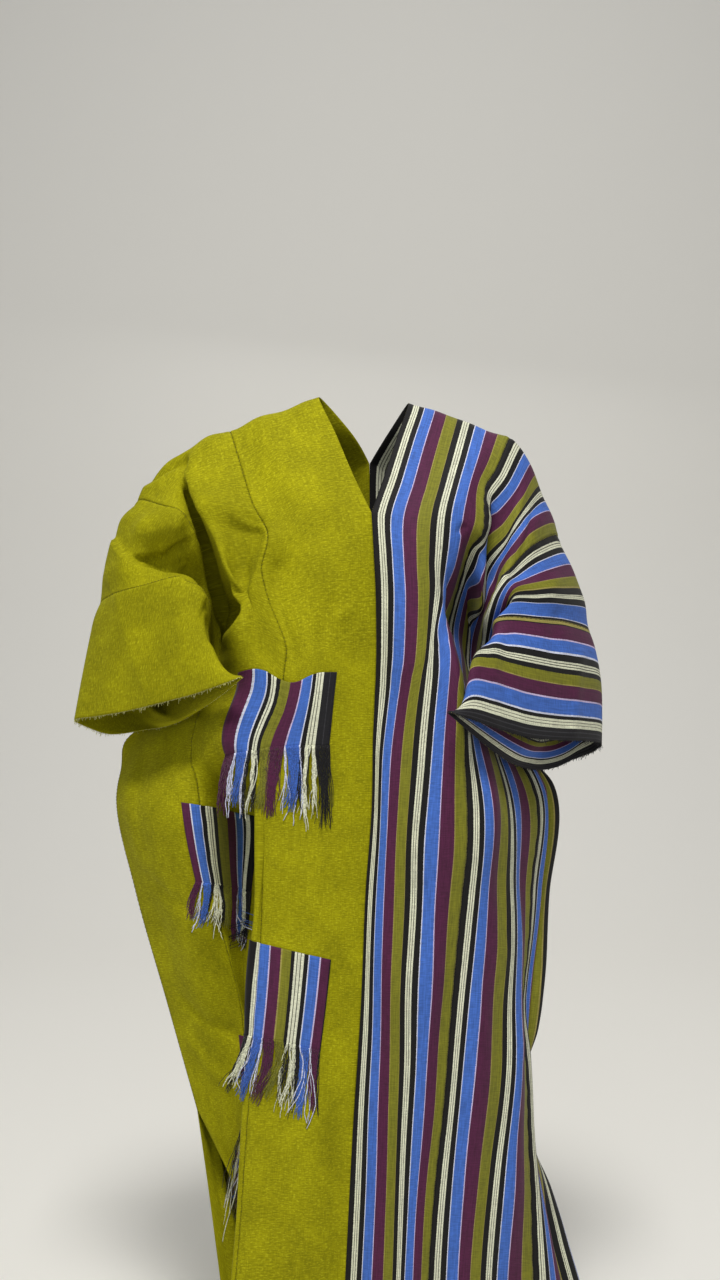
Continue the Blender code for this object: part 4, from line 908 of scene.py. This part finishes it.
# lengths in metres; a pair holds the least and the most of a random draw
fringe = {
    "seed": 40,
    "yarns": ("black", "cream", "blue", "pale", "plum", "olive"),
    "instead": {"gap": "black", "pink": "pale", "dryOlive": "olive", "charcoal": "black", "rib": "black"},
    "spacing": 0.0009,        # between threads, of which there are two layers
    "spot": (0.2, 0.8),       # where a thread stands in its own width
    "root": 0.985,            # how far down the patch the threads come out
    "layerLift": 0.0006,
    "radius": 0.0005,
    "tip": 0.35,              # how much thinner a thread is at its tip
    "clear": 0.0017,          # from the cloth under them to the lowest threads
    "search": 0.03,           # how far in front of a thread cloth is looked for
    "layerGap": 0.0005,
    "forward": 0.0015,        # by which the tips come forward
    "sway": 0.0035,           # by which a whole bunch bends sideways
    "turn": (0.35, 0.75),     # share of its length in which a bunch closes up
    "bunch": 0.36,            # how far the threads of one bunch close up towards their tips
    "pinches": (0.1, 1.5),
    "bunchLength": (0.86, 1.06),
    "length": (0.72, 1.04),
    "crimp": 0.0006,          # the weave leaves each thread wavy
    "wave": 0.0055,
    "waves": (0.7, 1.5),
    "curl": 0.005,
    "cords": ("cream", "pale"),   # yarns with a plied cord as every third thread
    "cordRadius": 0.00085,
    "cordLength": 1.1,
    "steps": 18,
}


def alongPatch(patch, across, down):
    # line and cm down at shares of the patch's width and height
    rows = []
    for edge in (patch["top"], patch["foot"]):
        edge = np.array(edge)
        line = edge[0, 0] + (edge[-1, 0] - edge[0, 0]) * across
        rows.append((line, np.interp(-line, -edge[:, 0], edge[:, 1])))
    (topLine, topDown), (footLine, footDown) = rows
    return topLine + (footLine - topLine) * down, topDown + (footDown - topDown) * down


def makePatch(name, patch, cloth):
    shares = (np.linspace(0, 1, patchShape[way]) for way in ("columns", "rows"))
    across, down = np.meshgrid(*shares)
    lines, places = alongPatch(patch, across, down)
    grid = onCloth(cloth, lines, places, np.full(across.shape, patchShape["lift"]))
    width = float(np.linalg.norm(np.diff(grid, axis=1), axis=2).sum(axis=1).mean())
    height = float(np.linalg.norm(np.diff(grid, axis=0), axis=2).sum(axis=0).mean())
    uv = np.stack([across * width, down * height], axis=-1)
    look = stripedCotton(f"{name}_striped_cotton", patch["stripes"], width * 1.0001)
    piece = clothMesh(f"{name}_cloth", grid, uv, -cloth["side"], patchShape["thickness"], look)
    declare(piece, [name])
    return width


def bunchesOf(stripes):
    # the threads of one stripe hang together, a rarer yarn as the common one that is nearest to it
    merged = []
    for start, yarn in stripes.items():
        yarn = fringe["instead"].get(yarn, yarn)
        if not merged or merged[-1][1] != yarn:
            merged.append((start, yarn))
    ends = [start for start, _ in merged[1:]] + [1]
    return [(start, end, yarn) for (start, yarn), end in zip(merged, ends)]


def hangingPath(start, outward, drop, drift, clothTree):
    # straight down from the patch's foot; cloth in the way pushes a thread out, and it stays out below
    path = start + drop[:, None] * np.array([0, 0, -1.0]) + drift
    push = 0
    for point in path:
        ahead = Vector(point + outward * fringe["search"])
        hit = clothTree.ray_cast(ahead, Vector(-outward), fringe["search"] * 2)[0]
        if hit is not None:
            push = max(push, np.dot(np.array(hit) - point, outward) + fringe["clear"])
        point += outward * push
    return path


def makeFringe(name, patch, cloth, width, clothTree, order, looks):
    chance = np.random.default_rng(fringe["seed"] + order)
    t = np.linspace(0, 1, fringe["steps"])
    threads = []
    for first, last, yarn in bunchesOf(patch["stripes"]):
        middle = (first + last) / 2
        count = max(1, round((last - first) * width / fringe["spacing"]))
        sway = chance.normal(0, fringe["sway"])
        turn = chance.uniform(*fringe["turn"])
        reach = np.interp(middle, (0, 1), patch["reach"]) * chance.uniform(*fringe["bunchLength"])
        lean = np.interp(middle, (0, 1), patch["lean"])
        bend = lean * t**1.3 + sway * np.sin(t * math.pi * turn * 1.6)
        # from a tenth of its length on a bunch closes up, and its threads may cross at the tips
        closing = np.clip((t - 0.1) / turn, 0, 1.4) ** 1.5
        for layer, strand in np.ndindex(2, count):
            share = first + (strand + chance.uniform(*fringe["spot"])) / count * (last - first)
            line, place = alongPatch(patch, np.array(share), np.array(fringe["root"]))
            start = onCloth(cloth, line, place, patchShape["lift"] + fringe["layerLift"] * layer)
            outward = unit((onCloth(cloth, line, place, 0.01) - start) * (1, 1, 0))
            length = reach * chance.uniform(*fringe["length"])
            pinch = fringe["bunch"] * chance.uniform(*fringe["pinches"]) * closing
            phase = chance.uniform(0, 2 * math.pi)
            wave = fringe["wave"] * chance.uniform(*fringe["waves"])
            crimp = fringe["crimp"] * np.sin(t * length / wave * 2 * math.pi + phase)
            curl = chance.normal(0, fringe["curl"]) * t**2 * np.sin(t * chance.uniform(2, 5) + phase)
            cord = yarn in fringe["cords"] and strand % 3 == 0
            if cord:
                length *= fringe["cordLength"]
                curl += chance.normal(0, fringe["curl"]) * t * np.sin(t * chance.uniform(3, 7) + phase)
            swing = fringe["crimp"] * np.cos(t * length / wave * 7 + phase) * 0.5
            drift = np.zeros((len(t), 3))
            drift[:, 0] = (middle - share) * width * pinch + bend + crimp + curl
            drift[:, 1] = -fringe["layerGap"] * layer - swing - fringe["forward"] * t
            path = hangingPath(start, outward, length * t, drift, clothTree)
            radius = fringe["cordRadius"] if cord else fringe["radius"]
            threads.append((path, radius * (1 - fringe["tip"] * t**3), fringe["yarns"].index(yarn)))
    declare(threadMesh(f"{name}_threads", threads, looks), [f"{name}_fringe"])


def visibleCloth(pieces):
    points, faces = [], []
    for piece in pieces:
        total = len(points)
        points += [vertex.co.copy() for vertex in piece.data.vertices]
        faces += [[total + corner for corner in face.vertices] for face in piece.data.polygons]
    return BVHTree.FromPolygons(points, faces)


frontTree = visibleCloth(plainPieces[:3])
threadLooks = [cottonThread(f"{yarn}_cotton_thread", yarns[yarn]) for yarn in fringe["yarns"]]
for order, (name, patch) in enumerate(patches.items()):
    patchWidth = makePatch(name, patch, plainCloth)
    makeFringe(name, patch, plainCloth, patchWidth, frontTree, order, threadLooks)
print("patches made")

# Strips are joined edge to edge by hand with slanting stitches, which lie in the groove of the
# seam. Pitch, long and wide are in cm of cloth, the rest in metres; a stitch dives at both ends.
stitching = {"seed": 7, "pitch": 0.62, "pitches": (0.8, 1.25), "long": 0.36, "wide": 0.16,
             "sizes": (0.7, 1.2), "aside": (-1, -0.3, 0.3, 1), "along": (0, 0.3, 0.7, 1),
             "radius": 0.00027, "lift": (-0.0003, 0.0008, 0.0008, -0.0003)}
# each seam's line, and the cm down that its stitches start and end at
bodySeams = ((2, -145, 144), (4, -145, 144), (6, -31, 31), (6, 33, 103))
# A cut edge frays: short ends of weft stand out of it, most of them very short.
fraying = {"seed": 9, "pitch": 0.13, "pitches": (0.5, 1.6), "margin": 0.5, "shortest": 0.0015,
           "longest": 0.0065, "rarity": 2.5, "radius": 0.0003, "inside": 0.0008, "astray": 0.45}


def seamStitches(name, cloth, look):
    chance = np.random.default_rng(stitching["seed"])
    threads = []
    for line, start, end in bodySeams:
        place = start
        while place < end:
            place += stitching["pitch"] * chance.uniform(*stitching["pitches"])
            slant = stitching["wide"] * chance.uniform(*stitching["sizes"]) / robe["repeat"]
            lines = line + np.array(stitching["aside"]) * slant
            length = stitching["long"] * chance.uniform(*stitching["sizes"])
            places = place + np.array(stitching["along"]) * length
            threads.append((onCloth(cloth, lines, places, stitching["lift"]), stitching["radius"], 0))
    declare(threadMesh(name, threads, [look]))


def frayedEdge(name, cloth, look):
    # ends of yarn along the sleeve's opening
    chance = np.random.default_rng(fraying["seed"])
    threads = []
    place = -robe["underarm"] + fraying["margin"]
    while place < robe["underarm"] - fraying["margin"]:
        place += fraying["pitch"] * chance.uniform(*fraying["pitches"])
        lines = robe["cuffLine"] - np.array([0, 0.1])
        base, inner = onCloth(cloth, lines, np.array([place, place]), np.zeros(2), "cuff")
        way = unit(base - inner)
        spread = fraying["longest"] - fraying["shortest"]
        length = fraying["shortest"] + spread * chance.random() ** fraying["rarity"]
        side = chance.normal(0, fraying["astray"], 3)
        t = np.linspace(0, 1, 4)[:, None]
        path = base - way * fraying["inside"] + (way * t + side * t**2 * 0.6) * length
        threads.append((path, fraying["radius"], 0))
    declare(threadMesh(name, threads, [look]))


oliveThread = cottonThread("dark_olive_sewing_thread", "#56520F")
blackThread = cottonThread("black_sewing_thread", "#17151A")
oliveWeft = cottonThread("olive_cotton_weft", "#C4C27A")
seamStitches("plain_seam_stitches", plainCloth, oliveThread)
seamStitches("striped_seam_stitches", stripedCloth, blackThread)
frayedEdge("plain_cuff_fray", plainCloth, oliveWeft)
frayedEdge("striped_cuff_fray", stripedCloth, blackThread)
print("stitches made")

stage = {"floor": -1.47, "near": -9.0, "wall": 4.6, "half": 20.0, "height": 12.0, "bend": 1.8, "steps": 12,
         "colour": "#EFEDE7"}
# power in watts, size in metres, where it hangs, what it is aimed at and its colour
lights = {
    "ceiling_panel": (155, 1.0, (-0.1, -2.2, 3.4), (0, 0, -0.6), (1.0, 0.985, 0.96)),
    "backdrop_panel": (18, 3.0, (0.4, 1.4, 3.2), (0, 4.6, 0.4), (1.0, 0.99, 0.97)),
    "rear_panel": (35, 2.5, (0.3, 3.4, 2.4), (0, 0, -0.6), (1.0, 0.99, 0.97)),
    "room": (18, 2.5, (-0.4, -3.2, 0.4), (0, 0, -0.7), (0.96, 0.98, 1.0)),
}
air = {"Color": (0.95, 0.97, 1.0, 1), "Strength": 0.24}
view = {"at": (-0.0088, -2.0, -0.3515), "sensor": 36, "lens": 38.25}


def makeStage():
    # floor that turns up into the backdrop
    foot, bend = stage["wall"] - stage["bend"], stage["bend"]
    curve = [(stage["near"], stage["floor"]), (foot, stage["floor"])]
    for step in range(1, stage["steps"]):
        turn = step / stage["steps"] * math.pi / 2
        curve.append((foot + bend * math.sin(turn), stage["floor"] + bend * (1 - math.cos(turn))))
    curve += [(stage["wall"], stage["floor"] + bend), (stage["wall"], stage["height"])]
    points, faces = [], []
    for y, z in curve:
        points += [(-stage["half"], y, z), (stage["half"], y, z)]
    for step in range(len(curve) - 1):
        faces.append((2 * step, 2 * step + 1, 2 * step + 3, 2 * step + 2))
    mesh = bpy.data.meshes.new("studio_sweep")
    mesh.from_pydata(points, [], faces)
    mesh.shade_smooth()
    sweep = addPiece("studio_sweep", mesh)
    # matt paint, bright enough to stay plain behind the robe
    made, _, sockets = newMaterial("painted_studio_board", {"roughness": 0.9})
    sockets["Base Color"].default_value = linear(stage["colour"])
    mesh.materials.append(made)


makeStage()
for name, (power, size, at, aim, colour) in lights.items():
    light = bpy.data.lights.new(name, "AREA")
    light.energy, light.size, light.color = power, size, colour
    lamp = addPiece(name, light)
    lamp.location = at
    lamp.rotation_euler = (Vector(aim) - Vector(at)).to_track_quat("-Z", "Y").to_euler()
world = bpy.data.worlds.new("studio")
bpy.context.scene.world = world
world.use_nodes = True
for socket, value in air.items():
    world.node_tree.nodes["Background"].inputs[socket].default_value = value
camera = bpy.data.cameras.new("camera")
camera.sensor_fit, camera.sensor_height, camera.lens = "VERTICAL", view["sensor"], view["lens"]
viewer = addPiece("camera", camera)
viewer.location = view["at"]
viewer.rotation_euler = (math.pi / 2, 0, 0)
bpy.context.scene.camera = viewer
bpy.context.scene.view_settings.view_transform = "Standard"
print("stage made")
